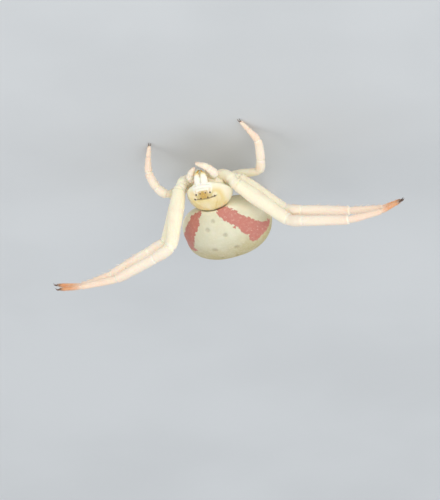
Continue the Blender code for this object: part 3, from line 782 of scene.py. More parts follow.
def add_spinnerets():
    """Six short cones on a low ring, where the solids have them."""
    low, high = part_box("spinnerets")
    middle = (low + high) / 2 / MM
    way = (middle - at(ABDOMEN_CENTRE)).normalized()
    across = way.cross(UP).normalized()
    up = across.cross(way)
    root = middle - way * SPINNERET_ROOT
    ring = [root + way * shift for shift, _ in SPINNERET_RING]
    parts = [tube("spinneret_ring", ring, [radius for _, radius in SPINNERET_RING], 28)]
    for side in (-1, 1):
        for shift, rise, length, radius in SPINNERETS:
            aside = across * side * shift
            start = root + aside + up * rise
            end = start + way * (0.1 + length) + (aside + up * rise) * 0.25
            spots = [start.lerp(end, share) for share, _ in SPINNERET_PROFILE]
            parts.append(tube("spinneret", spots, [radius * part for _, part in SPINNERET_PROFILE], 16))
    return parts


def give_along(obj):
    """Zero along, for a shell that is no limb."""
    if "along" not in obj.data.attributes:
        obj.data.attributes.new("along", "FLOAT", "CORNER")


def fuse(first, others):
    """Joins closed shells into one closed skin."""
    helpers = bpy.data.collections.new("shells")
    bpy.context.scene.collection.children.link(helpers)
    for other in others:
        helpers.objects.link(other)
    modifier = first.modifiers.new("fuse", "BOOLEAN")
    modifier.operation = "UNION"
    modifier.solver = "MANIFOLD"
    modifier.operand_type = "COLLECTION"
    modifier.collection = helpers
    only(first)
    bpy.ops.object.modifier_apply(modifier=modifier.name)
    for other in others:
        bpy.data.objects.remove(other)
    bpy.data.collections.remove(helpers)
    return first


def drop_scraps(obj):
    """Keeps only the largest connected surface."""
    edit(obj, lambda: bpy.ops.mesh.separate(type="LOOSE"))
    *scraps, kept = sorted(bpy.context.selected_objects, key=lambda part: len(part.data.vertices))
    for scrap in scraps:
        bpy.data.objects.remove(scrap)
    return kept


def to_metres(obj):
    only(obj)
    obj.scale = (MM, MM, MM)
    bpy.ops.object.transform_apply(location=True, rotation=True, scale=True)


def smooth(obj, angle):
    only(obj)
    bpy.ops.object.shade_smooth_by_angle(angle=math.radians(angle))


def settle(obj, slot, *nodes):
    """Puts a finished piece on the spider's body, in the place of the solids it stands for."""
    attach(obj, "root")
    if nodes:
        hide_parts(*nodes)


def finish_piece(piece, material, angle, slot, *nodes):
    """Dresses a piece made in millimetres, brings it to metres and puts it on the spider."""
    piece.data.materials.append(material)
    to_metres(piece)
    smooth(piece, angle)
    settle(piece, slot, *nodes)


def skin_surface():
    """Surface of the finished skin, in millimetres."""
    copy = in_millimetres("skin_surface", bpy.data.objects["skin"].data)
    surface = surface_of(copy)
    bpy.data.objects.remove(copy)
    return surface


class Value:
    """Output of a shader node, with the sums and patterns that are made of it."""

    def __init__(self, recipe, socket):
        self.recipe = recipe
        self.socket = socket

    def math(self, operation, other=0.0):
        return self.recipe.value("ShaderNodeMath", {0: self, 1: other}, operation=operation)

    def vector(self, operation, other, output=0):
        inputs = {0: self, 1: other}
        return self.recipe.value("ShaderNodeVectorMath", inputs, output, operation=operation)

    def __add__(self, other):
        return self.math("ADD", other)

    def __sub__(self, other):
        return self.math("SUBTRACT", other)

    def __mul__(self, other):
        return self.math("MULTIPLY", other)

    def __abs__(self):
        return self.math("ABSOLUTE")

    def ease(self, low, high, start=0.0, end=1.0):
        """From start to end as this value goes from low to high, eased and held outside."""
        inputs = {"Value": self, "From Min": low, "From Max": high, "To Min": start, "To Max": end}
        return self.recipe.value("ShaderNodeMapRange", inputs, interpolation_type="SMOOTHSTEP")

    def angle(self, run):
        """Angle of a slope with this value as its rise, in degrees."""
        return self.math("ARCTAN2", run) * math.degrees(1)

    def curve(self, points):
        """A curve through points given in degrees, read at this value and returned in degrees."""
        node = self.recipe.node("ShaderNodeFloatCurve", {"Value": self.math("DIVIDE", HALF_TURN)})
        line = node.mapping.curves[0]
        marks = [(x / HALF_TURN, y / HALF_TURN + 0.5) for x, y in points]
        line.points[0].location = marks[0]
        line.points[1].location = marks[-1]
        for mark in marks[1:-1]:
            line.points.new(*mark)
        node.mapping.update()
        return (Value(self.recipe, node.outputs[0]) - 0.5) * HALF_TURN

    def parts(self):
        node = self.recipe.node("ShaderNodeSeparateXYZ", {0: self})
        return [Value(self.recipe, socket) for socket in node.outputs]

    def scaled(self, factor):
        inputs = {0: self, "Scale": factor}
        return self.recipe.value("ShaderNodeVectorMath", inputs, operation="SCALE")

    def noise(self, scale, detail, roughness=0.5, output=0):
        inputs = {"Vector": self, "Scale": scale, "Detail": detail, "Roughness": roughness}
        return self.recipe.value("ShaderNodeTexNoise", inputs, output)

    def cells(self, scale):
        """Distance of this place to the middle of its cell, and a colour for each cell."""
        node = self.recipe.node("ShaderNodeTexVoronoi", {"Vector": self, "Scale": scale})
        return [Value(self.recipe, node.outputs[name]) for name in ("Distance", "Color")]

    def near(self, spot, radius):
        """1 at a spot, down to 0 at a radius from it."""
        return self.vector("DISTANCE", spot, "Value").ease(radius, 0.35 * radius)

    def warped(self, shift, amount):
        """Places moved about by a colour, each way by up to half the amount."""
        return self.vector("ADD", shift.vector("SUBTRACT", (0.5, 0.5, 0.5)).scaled(amount))


class Recipe:
    """Shader nodes of one material, whose coats of colour lie over one another on a base."""

    def __init__(self, name, base):
        self.material = bpy.data.materials.new(name)
        self.material.use_nodes = True
        self.nodes = self.material.node_tree.nodes
        self.links = self.material.node_tree.links
        self.shader = self.nodes["Principled BSDF"]
        self.base = base

    def feed(self, socket, value):
        if isinstance(value, Value):
            self.links.new(value.socket, socket)
        elif socket.type == "RGBA":
            socket.default_value = (*tuple(value)[:3], 1.0)
        else:
            socket.default_value = value

    def node(self, kind, inputs, **settings):
        node = self.nodes.new(kind)
        for name, value in settings.items():
            setattr(node, name, value)
        for key, value in inputs.items():
            self.feed(node.inputs[key], value)
        return node

    def value(self, kind, inputs, output=0, **settings):
        return Value(self, self.node(kind, inputs, **settings).outputs[output])

    def millimetres(self):
        """Object coordinates in millimetres from the eye row."""
        place = self.value("ShaderNodeTexCoord", {}, "Object")
        return place.vector("SUBTRACT", EYE_ROW * MM).scaled(1 / MM)

    def along(self):
        """How far along its limb a place is, from 0 at the coxa to 6 at the toe."""
        return self.value("ShaderNodeAttribute", {}, "Fac", attribute_name="along")

    def mix(self, share, first, last):
        return self.value("ShaderNodeMix", {0: share, 6: first, 7: last}, 2, data_type="RGBA")

    def coat(self, colour, share, *others):
        """Lays a colour over the base, by the product of some shares."""
        for other in others:
            share = share * other
        self.base = self.mix(share, self.base, colour)

    def bump(self, height, strength, distance):
        inputs = {"Height": height, "Strength": strength, "Distance": distance * MM}
        return self.value("ShaderNodeBump", inputs)

    def dress(self, fine, smoothest, roughest, **inputs):
        """Gives the shader its coats, a roughness that follows a fine noise, and other inputs."""
        roughness = fine.ease(0.3, 0.7, smoothest, roughest)
        for name, value in {"Base_Color": self.base, "Roughness": roughness, **inputs}.items():
            self.feed(self.shader.inputs[name.replace("_", " ")], value)
        return self.material

    def soft(self, weight, depth):
        """Light that sinks into the surface, by a depth in millimetres."""
        self.shader.inputs["Subsurface Weight"].default_value = weight
        self.shader.inputs["Subsurface Scale"].default_value = depth * MM
        self.shader.inputs["Subsurface Radius"].default_value = SOFT_TINT

    def cuticle(self, fine, grain, rough, relief, soft, index=1.45, gloss=0.5):
        """Finely wrinkled, faintly translucent surface over the coats."""
        self.soft(*soft)
        normal = self.bump(grain + fine, *relief)
        return self.dress(fine, *rough, Normal=normal, IOR=index, Specular_IOR_Level=gloss)


def leg_finish():
    """Cream coxae and femora, ivory beyond the knee, tan feet, and pale folds at the joints."""
    tint = colours()
    recipe = Recipe("leg_cuticle", tint.cream)
    place = recipe.millimetres()
    along = recipe.along()
    recipe.coat(tint.ivory, along.ease(1.7, 2.6))
    recipe.coat(tint.blush, along.ease(3.3, 4.4, 0, 0.55))
    recipe.coat(recipe.mix(along.ease(5.72, 6.0), tint.tan, tint.claw), along.ease(4.8, 5.5))
    recipe.coat(tint.blush, place.noise(1.3, 4).ease(0.48, 0.75, 0, 0.3))
    # Painted warm reflection: blush on the undersides of the legs, where they face down
    normal = recipe.value("ShaderNodeNewGeometry", {}, "Normal")
    recipe.coat(tint.blush, normal.parts()[2].ease(-0.2, -0.9, 0, 0.3))
    to_joint = abs(along - along.math("ROUND"))
    on_limb = along.ease(5.2, 4.6) * along.ease(0.3, 0.6)
    recipe.coat(tint.white, to_joint.ease(0.05, 0.0), on_limb, 0.7)
    grain, _ = place.cells(9.0)
    recipe.coat(tint.white, grain.ease(0.3, 0.9, 0, 0.2))
    far, tone = place.cells(1.0)
    chosen = tone.parts()[0].math("GREATER_THAN", 0.5)
    recipe.coat(tint.brown, far.ease(0.07, 0.035), chosen, 0.7)
    return recipe.cuticle(place.noise(16, 4), grain * 0.6, (0.32, 0.48), (0.35, 0.02), (0.35, 0.3))


def head_finish():
    """Amber carapace with cream margins, gold between the eyes, and the white ridge of the face."""
    tint = colours()
    recipe = Recipe("carapace_cuticle", tint.cream)
    place = recipe.millimetres()
    x, y, z = place.warped(place.noise(2.4, 3, output="Color"), 0.12).parts()
    side = abs(x)
    height = z - (y - CARAPACE_CENTRE_Y) * MARGIN_SLOPE - MARGIN_Z
    cloud = place.noise(1.6, 3).ease(0.35, 0.7, 0, 0.4)
    recipe.coat(recipe.mix(cloud, tint.amber, tint.cream), height.ease(0.15, 0.6))
    recipe.coat(tint.cream, side.ease(1.05, 1.45, 0, 0.85))
    # Painted warm reflection along the carapace's rear rim
    recipe.coat(tint.blush, y.ease(1.75, 2.25, 0, 0.6))
    recipe.coat(tint.cream, side.ease(0.2, 0.05), y.ease(0.25, 0.9), 0.35)
    furrow = abs(side - y.ease(0.2, 1.5, 0.85, 0.3))
    recipe.coat(tint.ocular, furrow.ease(0.1, 0.02), y.ease(0.3, 0.6), 0.22)
    recipe.coat(tint.olive, side.ease(0.85, 0.5), y.ease(0.1, 0.0), z.ease(-0.42, -0.3), 0.45)
    recipe.coat(tint.ocular, side.ease(0.48, 0.1), y.ease(0.1, 0.02), y.ease(-0.52, -0.36), 0.9)
    face = z.ease(-0.26, -0.35) * y.ease(-0.2, -0.42) * height.ease(0.0, 0.1)
    recipe.coat(tint.white, face, side.ease(0.8, 0.64))
    flat = recipe.value("ShaderNodeCombineXYZ", {0: side, 1: y})
    for name, share in (("lateral_rear", 0.5), ("lateral_front", 0.8), ("median_front", 0.35)):
        across, back, _, mound = EYES[name]
        recipe.coat(tint.white, flat.near((across, back, 0.0), 1.25 * mound), share)
        recipe.coat(tint.ocular, flat.near((across, back, 0.0), 0.7 * mound), 0.35)
    # Painted shade: a dark line in the crease behind the rear eye mounds, partly the dark rims of those
    # eyes
    off = abs(y - 0.085 - side * side * 0.09)
    broken = place.noise(3.5, 2).ease(0.3, 0.6, 0.55, 1.0)
    line = off.ease(0.085, 0.02) * side.ease(0.92, 0.78)
    recipe.coat(tint.brown, line, height.ease(0.3, 0.5), broken, 0.9)
    grain, _ = place.cells(8.0)
    return recipe.cuticle(place.noise(14, 4), grain * 0.5, (0.32, 0.48), (0.3, 0.02), (0.35, 0.35))


def band_share(bent):
    """1 inside the two pink bands, with edges torn along the cells of the skin."""
    x, y, z = bent.parts()
    side = abs(x)
    azimuth = side.angle(y * -1)
    rise = z.angle((side * side + y * y).math("SQRT"))
    azimuth = azimuth - x.math("GREATER_THAN", 0.0) * azimuth.ease(70, 10, 0, LEFT_BAND_LAG)
    above = (rise - azimuth.curve(BAND_LOWER)).ease(-BAND_EDGE, BAND_EDGE)
    below = (azimuth.curve(BAND_UPPER) - rise).ease(-BAND_EDGE, BAND_EDGE)
    return above * below * azimuth.ease(BAND_END + 2, BAND_END)


def abdomen_finish():
    """Greenish white back, olive behind that is partly real and partly painted shade, cream flanks, dusty
    pink bands and dark dimples.
    """
    tint = colours()
    recipe = Recipe("abdomen_skin", tint.flank)
    place = recipe.millimetres().vector("SUBTRACT", ABDOMEN_CENTRE)
    _, torn = place.cells(4.4)
    band = band_share(place.warped(torn, 0.17).warped(place.noise(1.1, 2, output="Color"), 0.26))
    _, y, z = place.parts()
    recipe.coat(tint.dorsum, (z + place.noise(0.8, 3) * 0.8).ease(0.5, 1.5))
    # Olive toward the rear: partly the skin's own olive, partly painted shade of the rear slope
    recipe.coat(tint.olive, (y + place.noise(0.6, 2)).ease(-1.2, 1.9, 0, 0.88))
    recipe.coat(tint.white, place.noise(1.4, 3).ease(0.42, 0.7, 0, 0.13))
    mottle = place.noise(5.5, 4, 0.65).ease(0.5, 0.75, 0, 0.22)
    recipe.coat(recipe.mix(mottle, tint.rose, tint.flank), band, 0.97)
    for spot, radius in SIGILLA:
        recipe.coat(tint.brown, place.near(spot, 1.7 * radius), 0.3)
    recipe.coat(tint.olive, z.ease(-0.7, -1.5, 0, 0.4))
    grain, _ = place.cells(6.5)
    recipe.coat(tint.white, grain.ease(0.25, 0.75, 0.08, 0), band.ease(0.0, 1.0, 1.0, 0.2))
    fine = place.noise(11, 4)
    return recipe.cuticle(fine, grain * 0.8, (0.42, 0.6), (0.25, 0.025), (0.3, 0.4), 1.42, 0.4)


def horn_finish(name, tip, root, low, high, roughness):
    """Hard cuticle that goes from one colour to another with height from the eye row."""
    recipe = Recipe(name, tip)
    place = recipe.millimetres()
    recipe.coat(root, (place.parts()[2] + place.noise(6, 2) * 0.1).ease(low, high))
    fine = place.noise(22, 3)
    recipe.coat(root, fine.ease(0.45, 0.75, 0, 0.15))
    recipe.dress(fine, roughness, roughness + 0.1, Normal=recipe.bump(fine, 0.2, 0.01), IOR=1.5)
    return recipe


def lens_finish():
    """Black glassy lens with a faint brown depth."""
    tint = colours()
    recipe = Recipe("eye_lens", tint.lens)
    depth = recipe.millimetres().noise(14, 2)
    recipe.coat(tint.brown, depth.ease(0.4, 0.7, 0, 0.25))
    return recipe.dress(depth, 0.06, 0.12, IOR=1.5, Coat_Weight=0.6, Coat_Roughness=0.05)


def claw_finish():
    """Dark glossy horn with warmer streaks."""
    tint = colours()
    recipe = Recipe("claw", tint.claw)
    tone = recipe.millimetres().noise(12, 2)
    recipe.coat(tint.tan, tone.ease(0.4, 0.7, 0, 0.3))
    return recipe.dress(tone, 0.18, 0.3, IOR=1.5)


def hair_finish(name):
    """Pale bristles, browner toward the feet."""
    tint = colours()
    recipe = Recipe(name, tint.white)
    tone = recipe.millimetres().noise(4, 2)
    recipe.coat(tint.blush, tone.ease(0.35, 0.65))
    recipe.coat(tint.tan, recipe.along().ease(4.5, 5.8))
    return recipe.dress(tone, 0.4, 0.5, IOR=1.5)


def floor_finish(paint):
    """Matt paint with faint broad clouds."""
    recipe = Recipe("floor_paint", paint)
    place = recipe.millimetres()
    darker = [part * 0.94 for part in paint]
    recipe.coat(darker, place.noise(0.05, 3).ease(0.35, 0.65))
    return recipe.dress(place.noise(2.5, 3), 0.7, 0.82)


class SPIDER_OT_add_skin(bpy.types.Operator):
    """Fuse head, chest, abdomen, palps and legs into one skin with its joints and folds"""

    bl_idname = "spider.add_skin"
    bl_label = "Add Skin"
    bl_options = {"REGISTER", "UNDO"}

    def execute(self, context):
        chest = add_head_and_chest()
        limbs = [add_leg(name) for name in LEGS] + [add_palp(name) for name in PALPS]
        limbs += [limb("lobe_shell", LOBE, LOBE_SWELLING, side, 20, 20) for side in (-1, 1)]
        abdomen = add_abdomen()
        pedicel = tube("pedicel_shell", [at(spot) for spot in PEDICEL], [PEDICEL_RADIUS] * 3, 20)
        shells = [chest, abdomen, pedicel, *add_spinnerets(), *limbs]
        finishes = (leg_finish(), head_finish(), abdomen_finish())
        worn = {chest: HEAD_FINISH, abdomen: ABDOMEN_FINISH}
        for shell in shells:
            give_along(shell)
            for finish in finishes:
                shell.data.materials.append(finish)
            index = worn.get(shell, LEG_FINISH)
            shell.data.polygons.foreach_set("material_index", [index] * len(shell.data.polygons))
        most = max(len(shell.data.vertices) for shell in shells)
        skin = drop_scraps(fuse(chest, shells[1:]))
        if len(skin.data.vertices) < 2 * most:
            raise RuntimeError("the shells didn't fuse into one skin")
        skin.name = "skin"
        to_metres(skin)
        smooth(skin, 50)
        flesh = [f"{leg}_{word}" for leg in LEGS for word in LEG_WORDS]
        flesh += [*PALPS, "carapace", "sternum", "abdomen", "pedicel", "spinnerets"]
        settle(skin, "leg", *flesh)
        return {"FINISHED"}


class SPIDER_OT_add_eyes(bpy.types.Operator):
    """Set the eight lenses in their mounds"""

    bl_idname = "spider.add_eyes"
    bl_label = "Add Eyes"
    bl_options = {"REGISTER", "UNDO"}

    def execute(self, context):
        finish = lens_finish()
        for name, spot, normal, lens, _ in list(eye_places(skin_surface())):
            eye = ball("lens_" + name, (0, 0, 0), (lens, lens, LENS_HEIGHT * lens), 24, 16)
            set_rim(eye, lens)
            turn = UP.rotation_difference(normal).to_matrix().to_4x4()
            eye.data.transform(Matrix.Translation(spot - normal * LENS_DEPTH * lens) @ turn)
            finish_piece(eye, finish, 60, "eye", "eye_" + name)
        return {"FINISHED"}


def set_rim(eye, lens):
    """Draws the lower half of a lens in and down, to a foot with a thin rim."""
    points = points_of(eye)
    low = np.clip(-points[:, 2] / lens, 0, 1)
    rim = np.exp(-((points[:, 2] / lens + RIM_DROP) / RIM_WIDTH) ** 2)
    points[:, :2] *= (1 + RIM_RELIEF * rim)[:, None]
    points[:, :2] *= (1 - LENS_FOOT * low)[:, None]
    set_points(eye, points)


class SPIDER_OT_add_jaws(bpy.types.Operator):
    """Add the two white chelicerae with their fangs"""

    bl_idname = "spider.add_jaws"
    bl_label = "Add Jaws"
    bl_options = {"REGISTER", "UNDO"}

    def execute(self, context):
        tint = colours()
        white = horn_finish("chelicera_cuticle", tint.amber, tint.white, -1.38, -1.1, 0.36)
        white.soft(0.3, 0.25)
        dark = horn_finish("fang", tint.brown, tint.ocular, -1.76, -1.5, 0.25)
        for side, word in SIDES:
            jaw = limb(f"chelicera_{word}", CHELICERA, CHELICERA_SWELLING, side, 30, 24)
            fang = limb(f"fang_{word}", FANG, FANG_SWELLING, side, 16, 14)
            finish_piece(jaw, white.material, 60, "chelicera", f"chelicera_{word}")
            finish_piece(fang, dark.material, 60, "tarsus")
        return {"FINISHED"}


class SPIDER_OT_add_claws(bpy.types.Operator):
    """Add two toothed claws to each foot"""

    bl_idname = "spider.add_claws"
    bl_label = "Add Claws"
    bl_options = {"REGISTER", "UNDO"}

    def execute(self, context):
        finish = claw_finish()
        for name in LEGS:
            claws = join(claw_pair(name))
            claws.name = name + "_claws"
            finish_piece(claws, finish, 60, "tarsus")
        return {"FINISHED"}


def claw_pair(name):
    """Two hooks that curve down beyond a toe, each with a row of small teeth inside its bend."""
    joints = leg_joints(name)
    way = (joints[-1] - joints[-2]).normalized()
    if LEGS[name][4][-1][2] is None:
        way = Vector((way.x, way.y, 0)).normalized()
    side = way.cross(UP).normalized()
    up = side.cross(way)
    made = []
    for across in (-1, 1):
        hook = [joints[-1] + way * reach + side * across * out - up * drop for reach, drop, out in CLAW]
        spots = [Vector(spot) for spot in finer_line(hook)]
        for spot in spots:
            spot.z = max(spot.z, CLAW_CLEARANCE)
        shares = [number / (len(spots) - 1) for number in range(len(spots))]
        radii = [CLAW_RADIUS * (1 - CLAW_TAPER * share) + CLAW_TIP_RADIUS for share in shares]
        made.append(tube("claw", spots, radii, 8))
        for place, drop in TEETH:
            start = spots[place]
            end = start + way * TOOTH_LEAN - up * drop
            if end.z > TOOTH_CLEARANCE:
                made.append(tube("tooth", [start, end], TOOTH_RADII, 6))
    return made


def finer_line(spots):
    """A smoother line through places, with its corners cut twice."""
    line = [np.array(spot) for spot in spots]
    for _ in range(2):
        finer = [line[0]]
        for before, after in zip(line, line[1:]):
            finer += [0.75 * before + 0.25 * after, 0.25 * before + 0.75 * after]
        line = finer + [line[-1]]
    return line


class SPIDER_OT_add_spines(bpy.types.Operator):
    """Add the paired spines under the front legs and the erect ones of the head"""

    bl_idname = "spider.add_spines"
    bl_label = "Add Spines"
    bl_options = {"REGISTER", "UNDO"}

    def execute(self, context):
        spines = Bristles()
        for name in ("leg1_right", "leg2_right", "leg1_left", "leg2_left"):
            self.arm(spines, name, sizes().spine_length / MM)
        self.crown(spines, skin_surface())
        spines.finish("spines", 5, (0.0, 0.3, 0.6, 0.85), hair_finish("spine"))
        return {"FINISHED"}

    def arm(self, spines, name, length):
        """Spines in two rows under tibia and metatarsus."""
        joints = leg_joints(name)
        radii = LEGS[name][3]
        for first, last, count in SPINE_ROWS:
            for number in range(count):
                along = first + (last - first) * number / (count - 1)
                spot = place_along(joints, along)
                way = (place_along(joints, along + 0.02) - spot).normalized()
                up = (UP - way * UP.dot(way)).normalized()
                across = way.cross(up)
                depth = leg_radius(radii, joints, along) * 0.96
                reach = length * (1.1 - 0.08 * number)
                for side in (-1, 1):
                    out = (-up * 0.8 + across * side * 0.6).normalized()
                    lean = (way * 0.95 + out * 0.55).normalized()
                    spines.add(spot + out * depth, lean, out, reach, SPINE_RADIUS, SPINE_CURL, along)

    def crown(self, spines, surface):
        """A few stiff bristles on the head and along the back of the carapace."""
        for across, back, length in CROWN:
            for side in (-1, 1) if across else (1,):
                above = at((side * across, back, 2.0))
                spot, normal, _, _ = surface.ray_cast(above, -UP)
                if spot is None:
                    raise RuntimeError("no place on the carapace for a stiff bristle")
                lean = (normal + Vector((0, -0.45, 0))).normalized()
                root = spot - normal * 0.01
                spines.add(root, lean, normal, length, CROWN_RADIUS, CROWN_CURL, CROWN_ALONG)


def cone_faces(sides, rings):
    """Triangles of a cone with a closed root, whose last corner is its tip."""
    faces = []
    for ring in range(rings - 1):
        for turn in range(sides):
            here = ring * sides + turn
            beside = ring * sides + (turn + 1) % sides
            faces += [(here, beside, beside + sides), (here, beside + sides, here + sides)]
    last = (rings - 1) * sides
    faces += [(last + turn, last + (turn + 1) % sides, last + sides) for turn in range(sides)]
    return np.array(faces + [(0, turn + 1, turn) for turn in range(1, sides - 1)])


class Bristles:
    """Roots of many bristles, made into one mesh at the end."""

    def __init__(self):
        self.rows = []
        self.patches = []

    def add(self, root, way, out, length, radius, curl, along, patch=None):
        """curl bends the tip toward the surface's outward side, or to the surface if below zero."""
        self.rows.append((*root, *way, *out, length, radius, curl, along))
        self.patches.append(patch or (0.01 + 0.98 * (len(self.rows) * GOLDEN_STEP % 1), 0.99))

    def finish(self, name, sides, rings, material):
        """Thin curved cones with a closed root, and a small patch of the bake's map for each."""
        rows = np.array(self.rows)
        root, way, out = rows[:, 0:3], rows[:, 3:6], rows[:, 6:9]
        length, radius, curl = rows[:, 9:10], rows[:, 10:11], rows[:, 11:12]
        across = np.cross(way, out)
        across /= np.linalg.norm(across, axis=1)[:, None]
        over = np.cross(across, way)
        per = sides * len(rings) + 1
        points = np.empty((len(rows), per, 3))
        patch = np.empty((len(rows), per, 2))
        middle = np.array(self.patches)
        for ring, share in enumerate(rings):
            centre = root + (way * share + over * (curl * share ** 2)) * length
            width = radius * (1 - share) ** 0.7
            for turn in range(sides):
                angle = 2 * math.pi * turn / sides
                level, rise = math.cos(angle), math.sin(angle)
                points[:, ring * sides + turn] = centre + (across * level + over * rise) * width
                offset = PATCH_RADIUS * (1 - 0.9 * share) * np.array((level, rise))
                patch[:, ring * sides + turn] = middle + offset
        points[:, -1] = root + (way + over * curl) * length
        patch[:, -1] = middle
        first = per * np.arange(len(rows))
        corners = (first[:, None, None] + cone_faces(sides, len(rings))).reshape(-1, 3)
        mesh = bpy.data.meshes.new(name)
        mesh.from_pydata(points.reshape(-1, 3).tolist(), [], corners.tolist())
        layer = mesh.uv_layers.new(name="OFBake")
        layer.uv.foreach_set("vector", patch.reshape(-1, 2)[corners.ravel()].ravel())
        tone = mesh.attributes.new("along", "FLOAT", "POINT")
        tone.data.foreach_set("value", np.repeat(rows[:, 12], per))
        finish_piece(placed(name, mesh), material, 80, "leg")


def globe_patch(away, left, width):
    """Place on the bake's map for a direction, in a field that starts at left."""
    turn = math.atan2(away.x, -away.y) / math.tau + 0.5
    rise = math.asin(max(-1, min(1, away.z / away.length))) / math.pi + 0.5
    return left + width * turn, 0.51 + 0.46 * rise


class SPIDER_OT_add_bristles(bpy.types.Operator):
    """Cover legs, head and abdomen with fine bristles that lie toward the tips"""

    bl_idname = "spider.add_bristles"
    bl_label = "Add Bristles"
    bl_options = {"REGISTER", "UNDO"}

    def execute(self, context):
        rng = np.random.default_rng(BRISTLE_SEED)
        skin = bpy.data.objects["skin"]
        mesh = skin.data
        mesh.calc_loop_triangles()
        triangles = mesh.loop_triangles
        finish = read(mesh.polygons, "material_index", kind=np.int32)
        finish = finish[read(triangles, "polygon_index", kind=np.int32)]
        along = read(mesh.attributes["along"].data, "value")
        along = along[read(triangles, "loops", 3, np.int32)].mean(axis=1)
        places = points_of(skin)[read(triangles, "vertices", 3, np.int32)] / MM
        normal = np.cross(places[:, 1] - places[:, 0], places[:, 2] - places[:, 0])
        area = np.linalg.norm(normal, axis=1) / 2
        normal /= np.maximum(2 * area, 1e-12)[:, None]
        wanted = rng.poisson(area * self.density(finish, along, places.mean(axis=1)))
        lines = self.lines()
        bristles = Bristles()
        for triangle in np.repeat(np.arange(len(triangles)), wanted):
            first, second = np.sqrt(rng.random()), rng.random()
            weights = np.array((1 - first, first * (1 - second), first * second))
            root = Vector(weights @ places[triangle])
            out = Vector(normal[triangle])
            self.grow(bristles, rng, root, out, finish[triangle], along[triangle], lines)
        bristles.finish("bristles", 3, (0.0, 0.4, 0.75), hair_finish("bristle"))
        return {"FINISHED"}

    def density(self, finish, along, places):
        """Bristles on each square millimetre: dense on the feet, sparse on the abdomen."""
        legs = sizes().bristle_density
        height = places[:, 2] - EYE_ROW.z
        found = legs * np.select([along > 4.9, along > 4.0, along < 0.8], FOOT_TO_COXA, 1.0)
        head = np.where(height > MARGIN_Z, HEAD_DENSITY, CHEST_DENSITY)
        found = np.where(finish == HEAD_FINISH, head, found)
        return np.where(finish == ABDOMEN_FINISH, ABDOMEN_DENSITY, found)

    def lines(self):
        """Places along all the limbs with their direction, in a tree that finds the nearest."""
        limbs = [leg_joints(name) for name in LEGS]
        limbs += [[at(point) for point in points] for points in PALPS.values()]
        rows = []
        for number, joints in enumerate(limbs):
            last = len(joints) - 1
            steps = 30 * last
            for step in range(steps):
                spot = place_along(joints, last * step / steps)
                ahead = place_along(joints, last * (step + 1) / steps)
                rows.append((spot, (ahead - spot).normalized(), number, step / steps))
        tree = KDTree(len(rows))
        for number, row in enumerate(rows):
            tree.insert(row[0], number)
        tree.balance()
        return tree, rows

    def grow(self, bristles, rng, root, out, finish, along, lines):
        """One bristle: along a limb to its tip, back over the abdomen, or upright on the head."""
        length = sizes().bristle_length / MM * rng.uniform(0.6, 1.3)
        radius = BRISTLE_RADIUS * rng.uniform(0.8, 1.3)
        stray = Vector(rng.normal(0, BRISTLE_STRAY, 3))
        curl = rng.uniform(-0.25, -0.05)
        if finish == LEG_FINISH and along > 0:
            tree, rows = lines
            _, number, _ = tree.find(root)
            spot, way, column, share = rows[number]
            lift = rng.uniform(0.45, 0.95)
            if along > TUFT_FROM:
                lift = rng.uniform(0.25, 0.7)
                length *= 1.25
            lean = way + out * lift + stray
            angle = math.atan2((root - spot).dot(way.cross(UP)), (root - spot).z)
            column += 0.05 + 0.9 * (angle / math.tau + 0.5)
            patch = (column / (len(LEGS) + len(PALPS)), 0.01 + 0.48 * share)
        elif finish == ABDOMEN_FINISH:
            away = root - at(ABDOMEN_CENTRE)
            back = Vector((0.15 * away.x, 1.0, -0.25))
            back -= out * back.dot(out)
            lean = back.normalized() + out * rng.uniform(0.35, 0.8) + stray
            length *= 0.8
            patch = globe_patch(away, 0.01, 0.56)
        else:
            lean = out + Vector((0, -0.35, 0)) + stray
            length *= 0.85
            patch = globe_patch(root - at((0, 1.1, -1.1)), 0.6, 0.38)
        lean.normalize()
        if lean.dot(out) < 0.15:
            lean = (lean + out * 0.4).normalized()
        tip = root.z + lean.z * length
        if tip < TIP_CLEARANCE:
            lean.z += (TIP_CLEARANCE - tip) / length
            lean.normalize()
            if root.z + lean.z * length < 0.005 or root.z < 0.01:
                return
        bristles.add(root - out * 0.004, lean, out, length, radius, curl, along, patch)


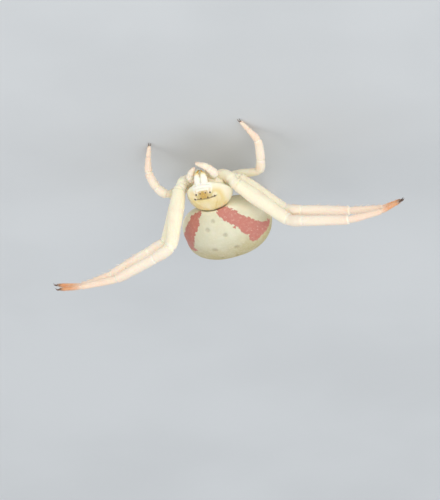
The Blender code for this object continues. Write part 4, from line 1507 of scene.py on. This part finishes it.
class SPIDER_OT_add_studio(bpy.types.Operator):
    """Add the pale floor, the soft lights and the camera of the photograph"""

    bl_idname = "spider.add_studio"
    bl_label = "Add Studio"
    bl_options = {"REGISTER", "UNDO"}

    def execute(self, context):
        settings = context.scene.studio_settings
        self.floor(settings)
        self.lights(settings)
        self.camera(settings)
        view = context.scene.view_settings
        view.view_transform = "Standard"
        view.exposure = 0.0
        return {"FINISHED"}

    def floor(self, settings):
        bpy.ops.object.select_all(action="DESELECT")
        bpy.ops.mesh.primitive_circle_add(
            vertices=96, radius=FLOOR_RADIUS, fill_type="NGON", location=(0, 0, 0)
        )
        floor = bpy.context.active_object
        floor.name = "floor"
        floor.data.materials.append(floor_finish(settings.floor))
        floor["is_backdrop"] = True

    def lights(self, settings):
        target = at((0.0, 2.0, 0.0)) * MM
        for name, turn, rise, far, size, power, share, tint in LIGHTS:
            data = bpy.data.lights.new(name, "AREA")
            data.shape = "DISK"
            data.size = size
            data.energy = getattr(settings, power) * share
            data.color = tint
            light = placed(name, data)
            away = toward(turn, rise)
            light.location = target + away * far
            light.rotation_euler = away.to_track_quat("Z", "Y").to_euler()
            light.visible_camera = False
        world = bpy.data.worlds.new("studio")
        world.use_nodes = True
        background = world.node_tree.nodes["Background"]
        background.inputs["Color"].default_value = SKY_TINT
        background.inputs["Strength"].default_value = settings.sky
        bpy.context.scene.world = world

    def camera(self, settings):
        """Upside down over the spider's face, as the photograph looks at it on its flower."""
        back = toward(CAMERA_TURN, CAMERA_RISE)
        turn = math.radians(CAMERA_TURN)
        right = Vector((-math.cos(turn), math.sin(turn), 0.0))
        up = back.cross(right)
        aside = (PHOTO_SIZE[0] / 2 - EYE_ROW_PIXEL[0]) * MM_PER_PIXEL
        rise = (EYE_ROW_PIXEL[1] - PHOTO_SIZE[1] / 2) * MM_PER_PIXEL
        target = (EYE_ROW + right * aside + up * rise) * MM
        distance = PHOTO_SIZE[1] * MM_PER_PIXEL * MM * settings.lens / SENSOR
        data = bpy.data.cameras.new("camera")
        data.lens = settings.lens
        data.sensor_width = SENSOR
        data.clip_start = 0.01
        data.clip_end = 20.0
        camera = placed("camera", data)
        matrix = Matrix((right, up, back)).transposed().to_4x4()
        matrix.translation = target + back * distance
        camera.matrix_world = matrix
        bpy.context.scene.camera = camera


def toward(turn, rise):
    """Direction from the spider to something turned from its front to its right, and raised."""
    turn, rise = math.radians(turn), math.radians(rise)
    return Vector((-math.sin(turn) * math.cos(rise), -math.cos(turn) * math.cos(rise), math.sin(rise)))


STEPS = ("add_skin", "add_eyes", "add_jaws", "add_claws", "add_spines", "add_bristles", "add_studio")


class SPIDER_PT_panel(bpy.types.Panel):
    """Sizes, colours and steps of the spider"""

    bl_idname = "SPIDER_PT_panel"
    bl_label = "Crab Spider"
    bl_space_type = "VIEW_3D"
    bl_region_type = "UI"
    bl_category = "Spider"

    def draw(self, context):
        layout = self.layout
        scene = context.scene
        for title, group in (
            ("Sizes", scene.spider_sizes),
            ("Colours", scene.spider_colours),
            ("Studio", scene.studio_settings),
        ):
            box = layout.box()
            box.label(text=title)
            for name in group.__annotations__:
                box.prop(group, name)
        for step in STEPS:
            layout.operator("spider." + step)


CLASSES = (
    SpiderSizes,
    SpiderColours,
    StudioSettings,
    SPIDER_OT_add_skin,
    SPIDER_OT_add_eyes,
    SPIDER_OT_add_jaws,
    SPIDER_OT_add_claws,
    SPIDER_OT_add_spines,
    SPIDER_OT_add_bristles,
    SPIDER_OT_add_studio,
    SPIDER_PT_panel,
)


def register():
    for each in CLASSES:
        bpy.utils.register_class(each)
    bpy.types.Scene.spider_sizes = bpy.props.PointerProperty(type=SpiderSizes)
    bpy.types.Scene.spider_colours = bpy.props.PointerProperty(type=SpiderColours)
    bpy.types.Scene.studio_settings = bpy.props.PointerProperty(type=StudioSettings)


def unregister():
    del bpy.types.Scene.studio_settings
    del bpy.types.Scene.spider_colours
    del bpy.types.Scene.spider_sizes
    for each in reversed(CLASSES):
        bpy.utils.unregister_class(each)


def main():
    register()
    bpy.ops.object.select_all(action="DESELECT")
    for step in STEPS:
        getattr(bpy.ops.spider, step)()
    boxes = {"cad": CAD_BOX, "visual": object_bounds()}
    {name: [list(corner) for corner in box] for name, box in boxes.items()}


if __name__ == "__main__":
    main()
